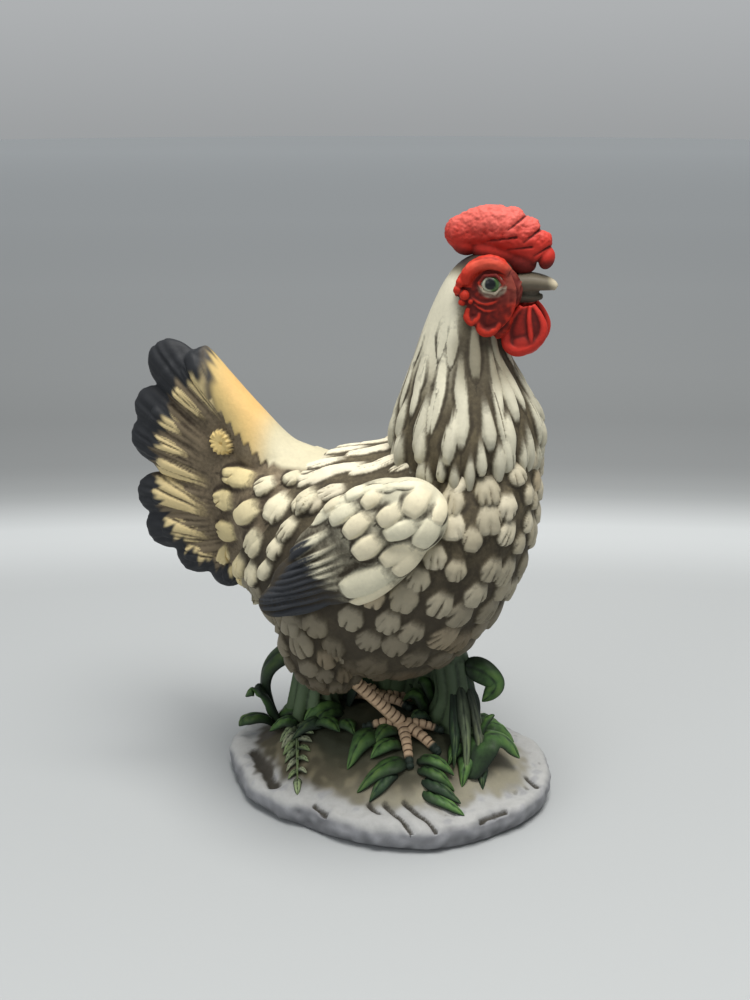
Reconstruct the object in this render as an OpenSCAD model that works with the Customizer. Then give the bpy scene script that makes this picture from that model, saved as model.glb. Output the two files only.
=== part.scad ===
/* [Body] */
// Length of the body from breast to rump
body_l = 100; // [80:1:120]
// Width of the body without the wings
body_w = 70; // [56:1:84]
// Height of the body from belly to back
body_h = 84; // [68:1:100]
// Height of the belly above the table
belly_z = 42; // [38:1:50]
// Wall of the cast shells
wall = 4; // [3:0.5:5]
// Diameter of the firing vent under the belly
vent_d = 8; // [5:0.5:10]

/* [Neck and head] */
// Rise from the foot of the neck to the middle of the head
neck_h = 46.5; // [37:0.5:56]
// Length of the head without beak and comb
head_l = 23; // [19:0.5:28]
// Thickness of the comb
comb_t = 9; // [7:0.5:11]

/* [Wings and tail] */
// Length of a folded wing
wing_l = 64; // [52:1:78]
// How far a wing stands out past the body's side
wing_out = 7; // [5:0.5:9]
// Reach of the tail fan behind its root
tail_l = 47; // [38:1:57]
// Thickness of the tail fan halfway out
tail_t = 13; // [10:0.5:16]

/* [Legs] */
// Radius of a shank
leg_r = 2.8; // [2.2:0.1:3.4]

/* [Base] */
// Length of the rock base
base_l = 115; // [96:1:138]
// Width of the rock base
base_w = 86; // [72:1:104]
// Height of the rock's rim
base_t = 10; // [8:0.5:13]
// Rise of the earth mound above the rim
mound_h = 15; // [12:0.5:18]
// Width of the ring that the figurine stands on
ring_w = 6; // [4:0.5:8]

/* [Leaves] */
// Thickness of a leaf blade
leaf_t = 2.4; // [1.8:0.1:3]
// Size of the leaves against the standard ones
leaf_k = 1; // [0.8:0.05:1.25]

/* [Hidden] */
fine = 24;
mid = 14;
plain = 10;
low = 8;
leaf_n = 7;
bx = -2;
bz = belly_z + body_h / 2;
kl = body_l / 100;
kw = body_w / 70;
kh = body_h / 84;
kd = head_l / 23;
kg = wing_l / 64;
kt = tail_l / 47;
gx = -0.9;
gy = 1.2;
ga = base_l / 2 - 3.4;
gb = base_w / 2 - 3.4;
dome_k = 0.63;

// A point in the body's own proportions, 1 being its half length, width or height.
function at_body(u, v, w) = [bx + u * body_l / 2, v * body_w / 2, bz + w * body_h / 2];
// A point and a radius in the head's proportions, measured from the head's middle.
head_c = at_body(0.614, 0, 1.095) + [0, 0, neck_h];
function at_head(x, y, z) = head_c + [x, y, z] * kd;
function head_r(a, b, c) = [a, b, c] * kd;
// Height of the earth at a place on the base.
function reach(x, y) = norm([(x - gx) / ga, (y - gy) / gb]);
function rise(r) = r < dome_k * dome_k ? sqrt(1 - pow(r / dome_k, 2))
    : sqrt(1 - dome_k * dome_k) * max(0, 1 - r) / (1 - dome_k * dome_k);
function ground(x, y) = base_t + mound_h * rise(reach(x, y));
function on_ground(x, y, up) = [x, y, ground(x, y) + up];
function size3(k, r) = [k[0] * r[0], k[1] * r[1], k[2] * r[2]];

// One rounded station, and a solid drawn through a list of them.
module station(s, n) {
    translate(s[0]) scale(s[1]) sphere(r = 1, $fn = n);
}
module chain(list, n) {
    for (i = [0 : len(list) - 2]) hull() {
        station(list[i], n);
        station(list[i + 1], n);
    }
}
module both(side) {
    if (side > 0) mirror([0, 1, 0]) children();
    else children();
}

// ---- Body ----
function body_stations(w) = let (k = [kl, kw, kh], o = [w, w, w]) [
    [at_body(0.28, 0, 0.333), size3(k, [35.5, 34, 38]) - o],
    [at_body(0.17, 0, 0.16), size3(k, [36, 35, 40]) - o],
    [at_body(0.08, 0, 0), size3(k, [36, 35, 42]) - o],
    [at_body(-0.12, 0, -0.03), size3(k, [35.5, 34.5, 41]) - o],
    [at_body(-0.3, 0, -0.03), size3(k, [32, 32.5, 39]) - o],
    [at_body(-0.46, 0, 0.05), size3(k, [27, 28, 34.5]) - o],
    [at_body(-0.6, 0, 0.18), size3(k, [20, 21, 26]) - o],
    [at_body(-0.7, 0, 0.27), size3(k, [14, 14, 19]) - o],
    [at_body(-0.76, 0, 0.3), size3(k, [11, 10, 14]) - o]];
module body_outer() { chain(body_stations(0), fine); }
module body_shell() {
    color([0.83, 0.79, 0.67]) difference() {
        body_outer();
        chain(body_stations(wall), plain);
        neck_outer();
        translate([bx, 0, bz - body_h]) cylinder(h = body_h, d = vent_d, $fn = mid);
    }
}

// ---- Neck and head, one hollow casting that plugs into the body ----
neck_c = at_body(0.54, 0, 1.095);
neck_foot_z = neck_c[2] - 9 * kh;
function neck_stations(w) = let (o = [w, w, w]) [
    [neck_c + [0, 0, 0], size3([kl, kw, kh], [23.5, 24, 12]) - o],
    [neck_c + [-0.7, 0, 0.24 * neck_h], size3([kl, kw, kh], [20.7, 19.5, 12]) - o],
    [neck_c + [-1.6, 0, 0.38 * neck_h], size3([kl, kw, kh], [17.6, 16.3, 12]) - o],
    [neck_c + [-2.5, 0, 0.53 * neck_h], size3([kl, kw, kh], [14.6, 13.4, 12]) - o],
    [neck_c + [-1.6, 0, 0.76 * neck_h], [11.7, 11, 11] * kd - o],
    [neck_c + [1, 0, 0.9 * neck_h], [11.3, 10.4, 10.4] * kd - o],
    [head_c, head_r(11.5, 10, 10.5) - o]];
module neck_outer() {
    intersection() {
        chain(neck_stations(0), fine);
        translate([-200, -200, neck_foot_z]) cube([400, 400, 300]);
    }
}
module neck_head_shell() {
    color([0.86, 0.83, 0.73]) difference() {
        neck_outer();
        chain(neck_stations(wall), plain);
        translate([neck_c[0], 0, neck_c[2] - 30 * kh])
            scale([23.5 * kl - wall, 24 * kw - wall, 1]) cylinder(h = 30 * kh, r = 0.86, $fn = fine);
    }
}

// ---- Head pieces ----
module comb_solid() {
    t = comb_t / 2;
    chain([[at_head(-7.6, 0, 11.6), [4.6 * kd, 0.8 * t, 4.4 * kd]],
        [at_head(-2, 0, 13.6), [6 * kd, t, 7 * kd]],
        [at_head(5.3, 0, 13.8), [6.5 * kd, t, 7.6 * kd]],
        [at_head(12, 0, 11), [6 * kd, 0.9 * t, 7.6 * kd]],
        [at_head(16.4, 0, 7.6), [3.8 * kd, 0.75 * t, 5 * kd]]], mid);
    for (p = [[-3.4, 16.8], [3.6, 19.7], [10.4, 18.4], [15.6, 14.6], [18.6, 9.8]]) hull() {
        station([at_head(p[0], 0, p[1]), [3.7 * kd, 0.76 * t, 3.8 * kd]], plain);
        station([at_head(0.8 * p[0], 0, 0.8 * p[1]), [3.6 * kd, 0.86 * t, 3 * kd]], plain);
    }
}
module comb() {
    color([0.78, 0.16, 0.11]) difference() {
        comb_solid();
        neck_outer();
    }
}
module beak_solid() {
    chain([[at_head(8, 0, 1.4), head_r(5, 4.8, 4)], [at_head(14.4, 0, 1.2), head_r(4, 3.2, 2.8)],
        [at_head(18, 0, 0.2), head_r(2.4, 1.8, 1.7)], [at_head(20.6, 0, -0.9), head_r(1, 0.8, 0.9)]], mid);
    chain([[at_head(8, 0, -2.6), head_r(5, 4, 2.6)], [at_head(14.2, 0, -3), head_r(2.8, 2.2, 1.4)],
        [at_head(17.4, 0, -2.8), head_r(0.9, 0.8, 0.7)]], mid);
}
module beak() {
    color([0.58, 0.51, 0.4]) difference() {
        beak_solid();
        neck_outer();
        comb_solid();
    }
}
module face_solid() {
    chain([[at_head(9, -4.6, 4), head_r(4.6, 4, 3.4)], [at_head(3, -7.6, 3), head_r(8.4, 3.6, 5.6)],
        [at_head(1, -8.4, -3), head_r(7, 3, 6)], [at_head(5.5, -6.8, -8), head_r(6, 3, 5)]], plain);
    for (p = [[-6, 4.6], [-6.8, 0.6], [-6.2, -3.6], [-3.8, -7.8], [0.4, -11.2], [5.2, -12.6], [9.6, -11.4]]) hull() {
        station([at_head(p[0], -7.9, p[1]), head_r(2.3, 2.4, 2.3)], low);
        station([at_head(0.75 * p[0] + 1, -8, 0.75 * p[1]), head_r(2.5, 2.5, 2.5)], low);
    }
}
module eye_solid() { station([at_head(3.4, -10.6, 1.9), head_r(2.9, 1.9, 2.4)], mid); }
module face(side) {
    color([0.8, 0.22, 0.13]) both(side) difference() {
        face_solid();
        neck_outer();
        comb_solid();
        beak_solid();
        eye_solid();
    }
}
module eye(side) {
    color([0.07, 0.09, 0.07]) both(side) difference() {
        eye_solid();
        neck_outer();
        comb_solid();
    }
}
module wattle_solid() {
    chain([[at_head(9.6, -4.6, -6.6), head_r(4.4, 2.6, 3.6)], [at_head(11.4, -4.4, -12), head_r(6, 2.8, 5.4)],
        [at_head(11.2, -4.2, -15.6), head_r(5.4, 2.6, 4.6)]], mid);
    for (a = [-60 : 40 : 60]) hull() {
        station([at_head(11.2 + 4.4 * sin(a), -4.2, -15 - 3.8 * cos(a)), head_r(1.9, 2.2, 1.9)], low);
        station([at_head(11, -4.2, -12), head_r(2, 2.4, 2)], low);
    }
}
module wattle(side) {
    color([0.8, 0.18, 0.12]) both(side) difference() {
        wattle_solid();
        neck_outer();
        beak_solid();
        face_solid();
        translate([0, 100, 0]) cube([400, 200.6, 600], center = true);
    }
}

// ---- Wings, pressed separately and luted on ----
function wing_p(x, y, z) = at_body(0.1, -1, 0.5) + [x * kg, y, z * kg];
module wing_solid() {
    t = wing_out;
    chain([[wing_p(14.5, 3, 7.6), [11.5 * kg, t - 1.2, 12.5 * kg]],
        [wing_p(9, 0.6, 5), [15 * kg, t, 15 * kg]],
        [wing_p(-1, 0.6, -1.6), [15.5 * kg, t, 16 * kg]],
        [wing_p(-10, 1.6, -8), [14 * kg, t - 0.4, 14 * kg]],
        [wing_p(-19, 3.4, -14.6), [10.5 * kg, t - 1, 10 * kg]],
        [wing_p(-27, 5.4, -20), [7.6 * kg, t - 1.8, 6.6 * kg]],
        [wing_p(-34, 7, -24.6), [4 * kg, t - 3, 3.2 * kg]]], mid);
}
module wing(side) {
    color([0.85, 0.8, 0.68]) both(side) difference() {
        wing_solid();
        body_outer();
    }
}

// ---- Tail fan ----
tail_c = at_body(-0.66, 0, 0.24);
function tail_p(x, z) = tail_c + [x * kt, 0, z * kt];
module tail_solid() {
    t = tail_t / 2;
    for (p = [[-40, 50, -20, 32], [-47, 33, -26, 22], [-49, 22.5, -28, 14], [-47.2, 9, -28, 5],
        [-45.5, -3, -27, -3], [-38.5, -14, -24, -10], [-26, -20, -18, -13]])
        chain([[tail_p(p[2], p[3]), [10 * kt, t, 9.5 * kt]], [tail_p(p[0], p[1]), [7.8 * kt, 0.5 * t, 7.2 * kt]]], plain);
    for (p = [[-35, 42, -40, 20], [-40, 20, -40, 0], [-40, 0, -26, -14]]) hull() {
        station([tail_c, [12 * kl, 1.7 * t, 15 * kh]], plain);
        station([tail_p(p[0], p[1]), [6 * kt, 0.66 * t, 8 * kt]], plain);
        station([tail_p(p[2], p[3]), [6 * kt, 0.66 * t, 8 * kt]], plain);
    }
    chain([[tail_p(4, 8), [13 * kl, 1.7 * t, 11 * kh]], [tail_p(-14, 29), [9 * kt, 1.3 * t, 9 * kt]],
        [tail_p(-31, 49), [7.6 * kt, 0.8 * t, 8.4 * kt]]], plain);
}
module tail_fan() {
    color([0.8, 0.7, 0.45]) difference() {
        tail_solid();
        body_outer();
    }
}

// ---- Thighs, shanks and feet; the left leg is set back by step_back ----
step_back = 13;
function back(side) = side > 0 ? -step_back : 0;
function hip(side) = at_body(-0.17, -0.3, -1.02) + [back(side), 0, 1];
function sole(side) = on_ground(6.5 + back(side), side > 0 ? 9 : -6.5, 2.2);
module thigh_solid(side) {
    k = [kl, kw, kh];
    h = hip(side);
    e = [h[0], side > 0 ? -h[1] : h[1], h[2]];
    s = side > 0 ? 1 : -1;
    chain([[at_body(-0.46, s * 0.44, -0.36), size3(k, [21, 14, 19])],
        [at_body(-0.4, s * 0.42, -0.52), size3(k, [19, 13.5, 16])],
        [e + [-6, s * 3.4, 11], size3(k, [13, 10.5, 10])], [e + [-1.6, s, 4], [6.4, 6, 5] * leg_r / 2.8]], mid);
}
function hip_s(side) = [hip(side)[0], side > 0 ? -hip(side)[1] : hip(side)[1], hip(side)[2]];
module shank_solid(side) {
    n = 5;
    for (i = [0 : n - 1]) hull() {
        a = hip_s(side) + (sole(side) - hip_s(side)) * i / n;
        b = hip_s(side) + (sole(side) - hip_s(side)) * (i + 0.8) / n;
        station([a, [leg_r, leg_r, leg_r]], low);
        station([b, [leg_r, leg_r, leg_r] * 0.9], low);
    }
    chain([[hip_s(side), [leg_r, leg_r, leg_r] * 0.8], [sole(side), [leg_r, leg_r, leg_r] * 0.85]], low);
}
module foot_solid(side) {
    s = side > 0 ? -1 : 1;
    j = sole(side);
    for (p = [[14.5, -7, 1], [6.5, -13.5, 1], [14.2, 3.5, 0.95], [-12.5, -3, 0.85]]) {
        r = leg_r * p[2];
        e = [j[0] + p[0], j[1] + s * p[1]];
        m = [j[0] + 0.5 * p[0], j[1] + 0.5 * s * p[1]];
        c = [j[0] + 1.22 * p[0], j[1] + 1.22 * s * p[1]];
        chain([[j, [r, r, r]], [on_ground(m[0], m[1], 1.6), [0.85 * r, 0.85 * r, 0.8 * r]],
            [on_ground(e[0], e[1], 1.4), [0.72 * r, 0.72 * r, 0.66 * r]],
            [on_ground(c[0], c[1], 0.5), [0.32 * r, 0.32 * r, 0.3 * r]]], low);
    }
}
module thigh(side) {
    color([0.82, 0.77, 0.64]) difference() {
        thigh_solid(side);
        body_outer();
        both(side) wing_solid();
    }
}
module shank(side) {
    color([0.76, 0.6, 0.42]) difference() {
        shank_solid(side);
        thigh_solid(side);
        body_outer();
        base_outer();
    }
}
module foot(side) {
    color([0.74, 0.58, 0.4]) difference() {
        foot_solid(side);
        shank_solid(side);
        base_outer();
    }
}

// ---- Rock base, hollow underneath, standing on a flat ring ----
function rim(a) = let (w = 1 + 0.018 * sin(3 * a + 40) + 0.012 * sin(5 * a + 10))
    [gx + w * base_l / 2 * cos(a), gy + w * base_w / 2 * sin(a)];
module rim_slice(z, grow) {
    translate([0, 0, z]) linear_extrude(0.2) polygon([for (a = [0 : 10 : 350]) rim(a) + grow * [cos(a), sin(a)]]);
}
module base_outer() {
    hull() {
        rim_slice(0, -1.6);
        rim_slice(0.38 * base_t, 0);
        rim_slice(0.72 * base_t, -0.8);
        rim_slice(base_t - 0.2, -3.4);
        intersection() {
            station([[gx, gy, base_t], [dome_k * ga, dome_k * gb, mound_h]], fine);
            translate([-200, -200, base_t - 0.2]) cube([400, 400, 100]);
        }
    }
}
module rock_base() {
    color([0.56, 0.55, 0.55]) difference() {
        base_outer();
        hull() {
            rim_slice(-0.4, -ring_w - 1.6);
            rim_slice(0.3 * base_t, -ring_w - 2.4);
            station([[gx, gy, base_t - wall], [0.5 * ga, 0.5 * gb, 0.9 * mound_h]], mid);
        }
    }
}

// ---- Leaf clumps that carry the body ----
module front_prop_solid() {
    chain([[on_ground(22, 7, -2), [9, 9, 5]], [on_ground(21, 7, 6), [6, 6.5, 6]],
        [[20.5, 6.5, bz - 0.94 * body_h / 2], [5.5, 6, 6]],
        [at_body(0.42, 0.16, -0.66), [7, 7, 6]]], plain);
    for (a = [0 : 60 : 300]) hull() {
        station([on_ground(22 + 8 * cos(a), 7 + 8 * sin(a), -1), [3, 3, 2.5]], leaf_n);
        station([[20.5 + 4 * cos(a), 6.5 + 4 * sin(a), bz - body_h / 2], [1.8, 1.8, 2.5]], leaf_n);
    }
}
module rear_prop_solid() {
    chain([[on_ground(-30, 6, -2), [8, 9, 5]], [on_ground(-29, 5, 7), [5.5, 6, 6]],
        [at_body(-0.5, 0.12, -0.98), [5, 6, 5]], [at_body(-0.48, 0.1, -0.8), [6, 7, 5]]], plain);
    for (a = [30 : 60 : 330]) hull() {
        station([on_ground(-30 + 7 * cos(a), 6 + 7 * sin(a), -1), [2.6, 2.6, 2]], leaf_n);
        station([at_body(-0.5, 0.12, -1) + [4 * cos(a), 4 * sin(a), 0], [1.6, 1.6, 2.5]], leaf_n);
    }
}
module props() {
    front_prop_solid();
    rear_prop_solid();
}
module front_prop() {
    color([0.12, 0.2, 0.13]) difference() {
        front_prop_solid();
        body_outer();
        base_outer();
        feet();
    }
}
module rear_prop() {
    color([0.12, 0.2, 0.13]) difference() {
        rear_prop_solid();
        body_outer();
        thigh_solid(-1);
        thigh_solid(1);
        base_outer();
        feet();
    }
}
module feet() {
    for (s = [-1, 1]) {
        shank_solid(s);
        foot_solid(s);
    }
}

// ---- Leaf blades: root, tip, width and rise of each; a blade arches up and droops to its tip ----
module blade(b) {
    k = leaf_k;
    d = [b[2] - b[0], b[3] - b[1]];
    a = atan2(d[1], d[0]);
    n = 3;
    pts = [for (i = [0 : n]) let (t = i / n) [[b[0] + k * t * d[0], b[1] + k * t * d[1]],
        b[5] * k * sin(180 * t) + (b[6] + 2.8) * t - 1.2, b[4] * k / 2 * (0.3 + 0.8 * sin(25 + 145 * t))]];
    for (i = [0 : n - 1]) hull() for (q = [pts[i], pts[i + 1]])
        translate([q[0][0], q[0][1], ground(q[0][0], q[0][1]) + q[1]]) rotate([0, 0, a])
            scale([2.2, max(0.7, q[2]), leaf_t / 2]) sphere(r = 1, $fn = leaf_n);
}
SPRAYS = [
    [[-20, -8, -34, -6, 8, 5, 2], [-20, -10, -30, -17, 8, 5, 0]],
    [[-12, -14, -26, -20, 8, 4, 0], [-14, -18, -22, -28, 7, 4, 0]],
    [[-24, 2, -40, -2, 9, 6, 2], [-26, -2, -38, -10, 8, 5, 0]],
    [[-4, -19, -14, -23, 7, 4, 0], [-2, -22, -9, -30, 7, 4, 0]],
    [[4, -23, -5, -29, 7, 3.5, 0], [5, -26, -4, -34, 7, 2.5, 1]],
    [[22, -20, 13, -31, 6, 3, 0], [24, -22, 20, -34, 6, 2.5, 0]],
    [[28, -14, 25, -27, 7, 4, 0], [31, -14, 31, -26, 7, 3, 0]],
    [[14, 13, 4, 20, 8, 6, 4], [16, 16, 12, 27, 8, 6, 2]],
    [[-14, 16, -26, 20, 8, 5, 2], [-12, 20, -18, 31, 8, 4, 0]],
    [[30, 16, 41, 20, 8, 5, 2], [26, 20, 33, 31, 8, 5, 0]],
    [[-34, 14, -47, 17, 8, 5, 1], [-30, 18, -38, 29, 8, 4, 0]],
    [[4, 24, -4, 33, 7, 4, 0], [8, 26, 10, 36, 7, 3, 0]]];
module spray_solid(i) {
    for (b = SPRAYS[i]) blade(b);
    chain([for (b = SPRAYS[i]) [on_ground(b[0], b[1], -1), [2.4, 2.4, 2]]], leaf_n);
}
module tall_leaf_solid() {
    chain([[on_ground(30, 3, -1), [4, 5, 3]], [on_ground(31, 3, 8), [2.4, 4.5, 5]],
        [on_ground(32.5, 3, 17), [2, 5, 5]], [on_ground(35.5, 3, 22), [3, 5, 2.6]],
        [on_ground(40, 3, 26.5), [2.6, 3.6, 1.6]], [on_ground(43, 3, 28), [1.4, 1.6, 1]]], plain);
    chain([[on_ground(31, -3, -1), [3, 4, 3]], [on_ground(33, -3, 9), [2, 4, 4]],
        [on_ground(35, -3, 14), [1.6, 3, 3]], [on_ground(36, -3, 18), [1, 1.4, 1.6]]], leaf_n);
}
module broad_leaf_solid() {
    chain([[on_ground(29, -11, -1), [4, 4, 2.6]], [on_ground(34, -12, 5), [4.4, 5.4, 2]],
        [on_ground(39, -12, 8.5), [4.4, 5.6, 1.8]], [on_ground(44, -12, 8.6), [3.6, 4.4, 1.6]],
        [on_ground(48, -12, 6), [2, 2.4, 1.4]]], plain);
    chain([[on_ground(28, -14, -1), [3, 3, 2]], [on_ground(32, -19, 4), [3.4, 4, 1.6]],
        [on_ground(35, -23, 4), [2.6, 3.4, 1.4]], [on_ground(37, -26, 2), [1.2, 1.4, 1]]], leaf_n);
}
module curled_leaf_solid() {
    chain([[on_ground(-44, 7, -1), [4, 4.6, 3]], [on_ground(-47, 7, 8), [2, 5, 4.6]],
        [on_ground(-48, 7, 17), [2, 5.4, 4.6]], [on_ground(-46, 7, 24.5), [3, 5, 2.6]],
        [on_ground(-40, 7, 26.5), [4, 4.6, 1.8]], [on_ground(-36, 7, 23), [2.6, 3.6, 1.8]],
        [on_ground(-34, 7, 17), [1.6, 2, 2]]], plain);
    chain([[on_ground(-43, 4, -1), [3, 3, 2]], [on_ground(-48, -1, 5), [3.6, 3.6, 1.8]],
        [on_ground(-52, -4, 5), [2.4, 2.6, 1.4]]], leaf_n);
}
module fern_solid() {
    r0 = [-33, -1];
    r1 = [-23, -29];
    n = 5;
    chain([for (i = [0 : 4]) let (q = r0 + (r1 - r0) * i / 4) [on_ground(q[0], q[1], 0.4), [1.3, 1.3, 1.2]]], leaf_n);
    for (i = [0 : n - 1], s = [-1, 1]) hull() {
        q = r0 + (r1 - r0) * (i + 0.7) / n;
        w = leaf_k * (7.4 - 0.9 * i);
        e = q + w * [0.55 + 0.6 * s, -0.5 + 0.35 * s];
        station([on_ground(q[0], q[1], 0.4), [1.4, 1.4, 1]], leaf_n);
        station([on_ground(e[0], e[1], 0.9), [1.8, 1.8, 1]], leaf_n);
    }
}
module trim(first) {
    difference() {
        children();
        body_outer();
        thigh_solid(-1);
        thigh_solid(1);
        base_outer();
        feet();
        if (first > 0) props();
        if (first > 1) tall_leaf_solid();
        if (first > 2) broad_leaf_solid();
        if (first > 3) curled_leaf_solid();
        if (first > 4) fern_solid();
        for (j = [0 : 1 : first - 6]) spray_solid(j);
    }
}
module front_tall_leaf() { color([0.2, 0.35, 0.19]) trim(1) tall_leaf_solid(); }
module front_broad_leaf() { color([0.24, 0.4, 0.2]) trim(2) broad_leaf_solid(); }
module rear_curled_leaf() { color([0.2, 0.36, 0.22]) trim(3) curled_leaf_solid(); }
module fern_sprig() { color([0.44, 0.5, 0.36]) trim(4) fern_solid(); }
module leaves(i) { color([0.22, 0.38, 0.2]) trim(i + 4) spray_solid(i - 1); }

body_shell();
neck_head_shell();
comb();
beak();
face(-1);  // face_right
face(1);  // face_left
eye(-1);  // eye_right
eye(1);  // eye_left
wattle(-1);  // wattle_right
wattle(1);  // wattle_left
wing(-1);  // wing_right
wing(1);  // wing_left
tail_fan();
thigh(-1);  // thigh_right
thigh(1);  // thigh_left
shank(-1);  // shank_right
shank(1);  // shank_left
foot(-1);  // foot_right
foot(1);  // foot_left
rock_base();
front_prop();
rear_prop();
rear_curled_leaf();
front_tall_leaf();
front_broad_leaf();
fern_sprig();
leaves(1);  // leaves_1
leaves(2);  // leaves_2
leaves(3);  // leaves_3
leaves(4);  // leaves_4
leaves(5);  // leaves_5
leaves(6);  // leaves_6
leaves(7);  // leaves_7
leaves(8);  // leaves_8
leaves(9);  // leaves_9
leaves(10);  // leaves_10
leaves(11);  // leaves_11
leaves(12);  // leaves_12
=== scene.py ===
import copy
import math
import random

import bmesh
import bpy
import numpy as np
from mathutils import Matrix, Vector, noise
from mathutils.bvhtree import BVHTree


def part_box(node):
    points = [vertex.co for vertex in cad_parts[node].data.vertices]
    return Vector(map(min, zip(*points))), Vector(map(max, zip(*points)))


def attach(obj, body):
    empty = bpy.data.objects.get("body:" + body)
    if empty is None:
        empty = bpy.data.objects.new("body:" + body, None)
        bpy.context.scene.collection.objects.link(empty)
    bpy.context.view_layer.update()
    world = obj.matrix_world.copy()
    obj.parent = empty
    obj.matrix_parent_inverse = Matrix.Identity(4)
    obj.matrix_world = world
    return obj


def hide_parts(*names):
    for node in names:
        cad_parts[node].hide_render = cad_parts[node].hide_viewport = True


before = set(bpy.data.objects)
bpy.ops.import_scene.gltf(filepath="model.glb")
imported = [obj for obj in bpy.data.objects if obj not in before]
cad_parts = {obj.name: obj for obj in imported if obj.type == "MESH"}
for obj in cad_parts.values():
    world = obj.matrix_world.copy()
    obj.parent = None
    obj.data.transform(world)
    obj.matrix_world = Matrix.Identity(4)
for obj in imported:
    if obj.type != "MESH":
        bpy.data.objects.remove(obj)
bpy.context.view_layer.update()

# ---- The table, the light and the camera ----
# The hen stands on a plain pale table, with a painted shadow round its base and a band of painted
# shade further back. One wide lamp hangs above and in front, a weak one fills in from the tail's
# side, and the camera looks down at the hen's right side.
MM = 0.001
TURN = math.radians(15)
DIP = math.radians(20)
STAND_OFF = 367.3 * MM
EYE_HEIGHT = 238.6 * MM
SIDESTEP = -5 * MM
LENS_MM = 43.2
# How far along the table or up the wall, as the colour ramp counts it, and how pale it is there;
# on the table the greys are painted shade, darker round the base and in a band further back.
TABLE_SHADE_GREYS = [(0.0, 0.435), (0.045, 0.48), (0.057, 0.61), (0.063, 0.62), (0.069, 0.50), (0.076, 0.36),
    (0.088, 0.29), (0.115, 0.295), (0.15, 0.37), (0.25, 0.54), (0.4, 0.70), (0.8, 0.90)]
WALL_GREYS = [(0.475, 0.35), (0.522, 0.44), (0.60, 0.30), (1.0, 0.42)]


def node_of(tree, kind, **values):
    node = tree.nodes.new(kind)
    for name, value in values.items():
        if name in node.inputs:
            node.inputs[name].default_value = value
        else:
            setattr(node, name, value)
    return node


def new_material(name):
    mat = bpy.data.materials.new(name)
    mat.use_nodes = True
    return mat, mat.node_tree, mat.node_tree.nodes["Principled BSDF"]


def calc(tree, operation, *values, clamp=False):
    """One sum on numbers or sockets; gives the socket that holds the result."""
    node = node_of(tree, "ShaderNodeMath", operation=operation, use_clamp=clamp)
    for socket, value in zip(node.inputs, values):
        if isinstance(value, (int, float)):
            socket.default_value = value
        else:
            tree.links.new(value, socket)
    return node.outputs[0]


def grey_ramp(tree, source, stops, cool):
    """A ramp of faintly blue greys on a value: stops are (place, grey) pairs."""
    ramp = tree.nodes.new("ShaderNodeValToRGB")
    while len(ramp.color_ramp.elements) < len(stops):
        ramp.color_ramp.elements.new(0.5)
    for element, (place, grey) in zip(ramp.color_ramp.elements, stops):
        element.position = place
        element.color = (grey * (1 - cool[0]), grey, grey * (1 + cool[1]), 1)
    tree.links.new(source, ramp.inputs["Fac"])
    return ramp.outputs["Color"]


def put(bm, name, material, smooth=True):
    """Makes the finished bmesh an object of the scene, with its faces pointing outwards."""
    bmesh.ops.recalc_face_normals(bm, faces=bm.faces)
    mesh = bpy.data.meshes.new(name)
    bm.to_mesh(mesh)
    bm.free()
    obj = bpy.data.objects.new(name, mesh)
    bpy.context.scene.collection.objects.link(obj)
    if material:
        mesh.materials.append(material)
    if smooth:
        mesh.shade_smooth()
    return obj


bm = bmesh.new()
bmesh.ops.create_circle(bm, cap_ends=True, segments=96, radius=4)
table_mat, tree, shader = new_material("table_painted_shade")
coords = node_of(tree, "ShaderNodeTexCoord")
squares = []
for x, y, share in ((-math.sin(TURN), math.cos(TURN), 0.25), (math.cos(TURN), math.sin(TURN), 0.09)):
    reach = node_of(tree, "ShaderNodeVectorMath", operation="DOT_PRODUCT")
    reach.inputs[1].default_value = (x * share, y * share, 0)
    tree.links.new(coords.outputs["Object"], reach.inputs[0])
    squares.append(calc(tree, "MULTIPLY", reach.outputs["Value"], reach.outputs["Value"]))
away = calc(tree, "POWER", calc(tree, "ADD", *squares), 0.5)
# Painted shade on the table: a painted shadow round the hen's base and a darker band further back.
painted_floor_shade = grey_ramp(tree, away, TABLE_SHADE_GREYS, (0.035, 0.015))
tree.links.new(painted_floor_shade, shader.inputs["Base Color"])
shader.inputs["Roughness"].default_value = 0.8
shader.inputs["Specular IOR Level"].default_value = 0.2
floor = put(bm, "table_top", table_mat)

world = bpy.data.worlds.new("soft_room")
bpy.context.scene.world = world
world.use_nodes = True
tree = world.node_tree
coords = node_of(tree, "ShaderNodeTexCoord")
height = node_of(tree, "ShaderNodeSeparateXYZ")
tree.links.new(coords.outputs["Generated"], height.inputs[0])
half = calc(tree, "MULTIPLY_ADD", height.outputs["Z"], 0.5, 0.5)
sky = grey_ramp(tree, half, WALL_GREYS, (0.03, 0.02))
tree.links.new(sky, tree.nodes["Background"].inputs["Color"])


def lamp(name, place, aim, size, power, tint):
    light = bpy.data.lights.new(name, "AREA")
    light.shape = "DISK"
    light.size = size
    light.energy = power
    light.color = tint
    obj = bpy.data.objects.new(name, light)
    obj.location = place
    obj.rotation_euler = (Vector(aim) - Vector(place)).to_track_quat("-Z", "Y").to_euler()
    bpy.context.scene.collection.objects.link(obj)


lamp("ceiling_lamp", (0.12, -0.10, 0.85), (0, 0, 0.08), 0.5, 8.2, (1.0, 0.985, 0.95))
lamp("window_fill", (-0.5, -0.7, 0.45), (0, 0, 0.1), 0.5, 1.1, (0.93, 0.96, 1.0))

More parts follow.
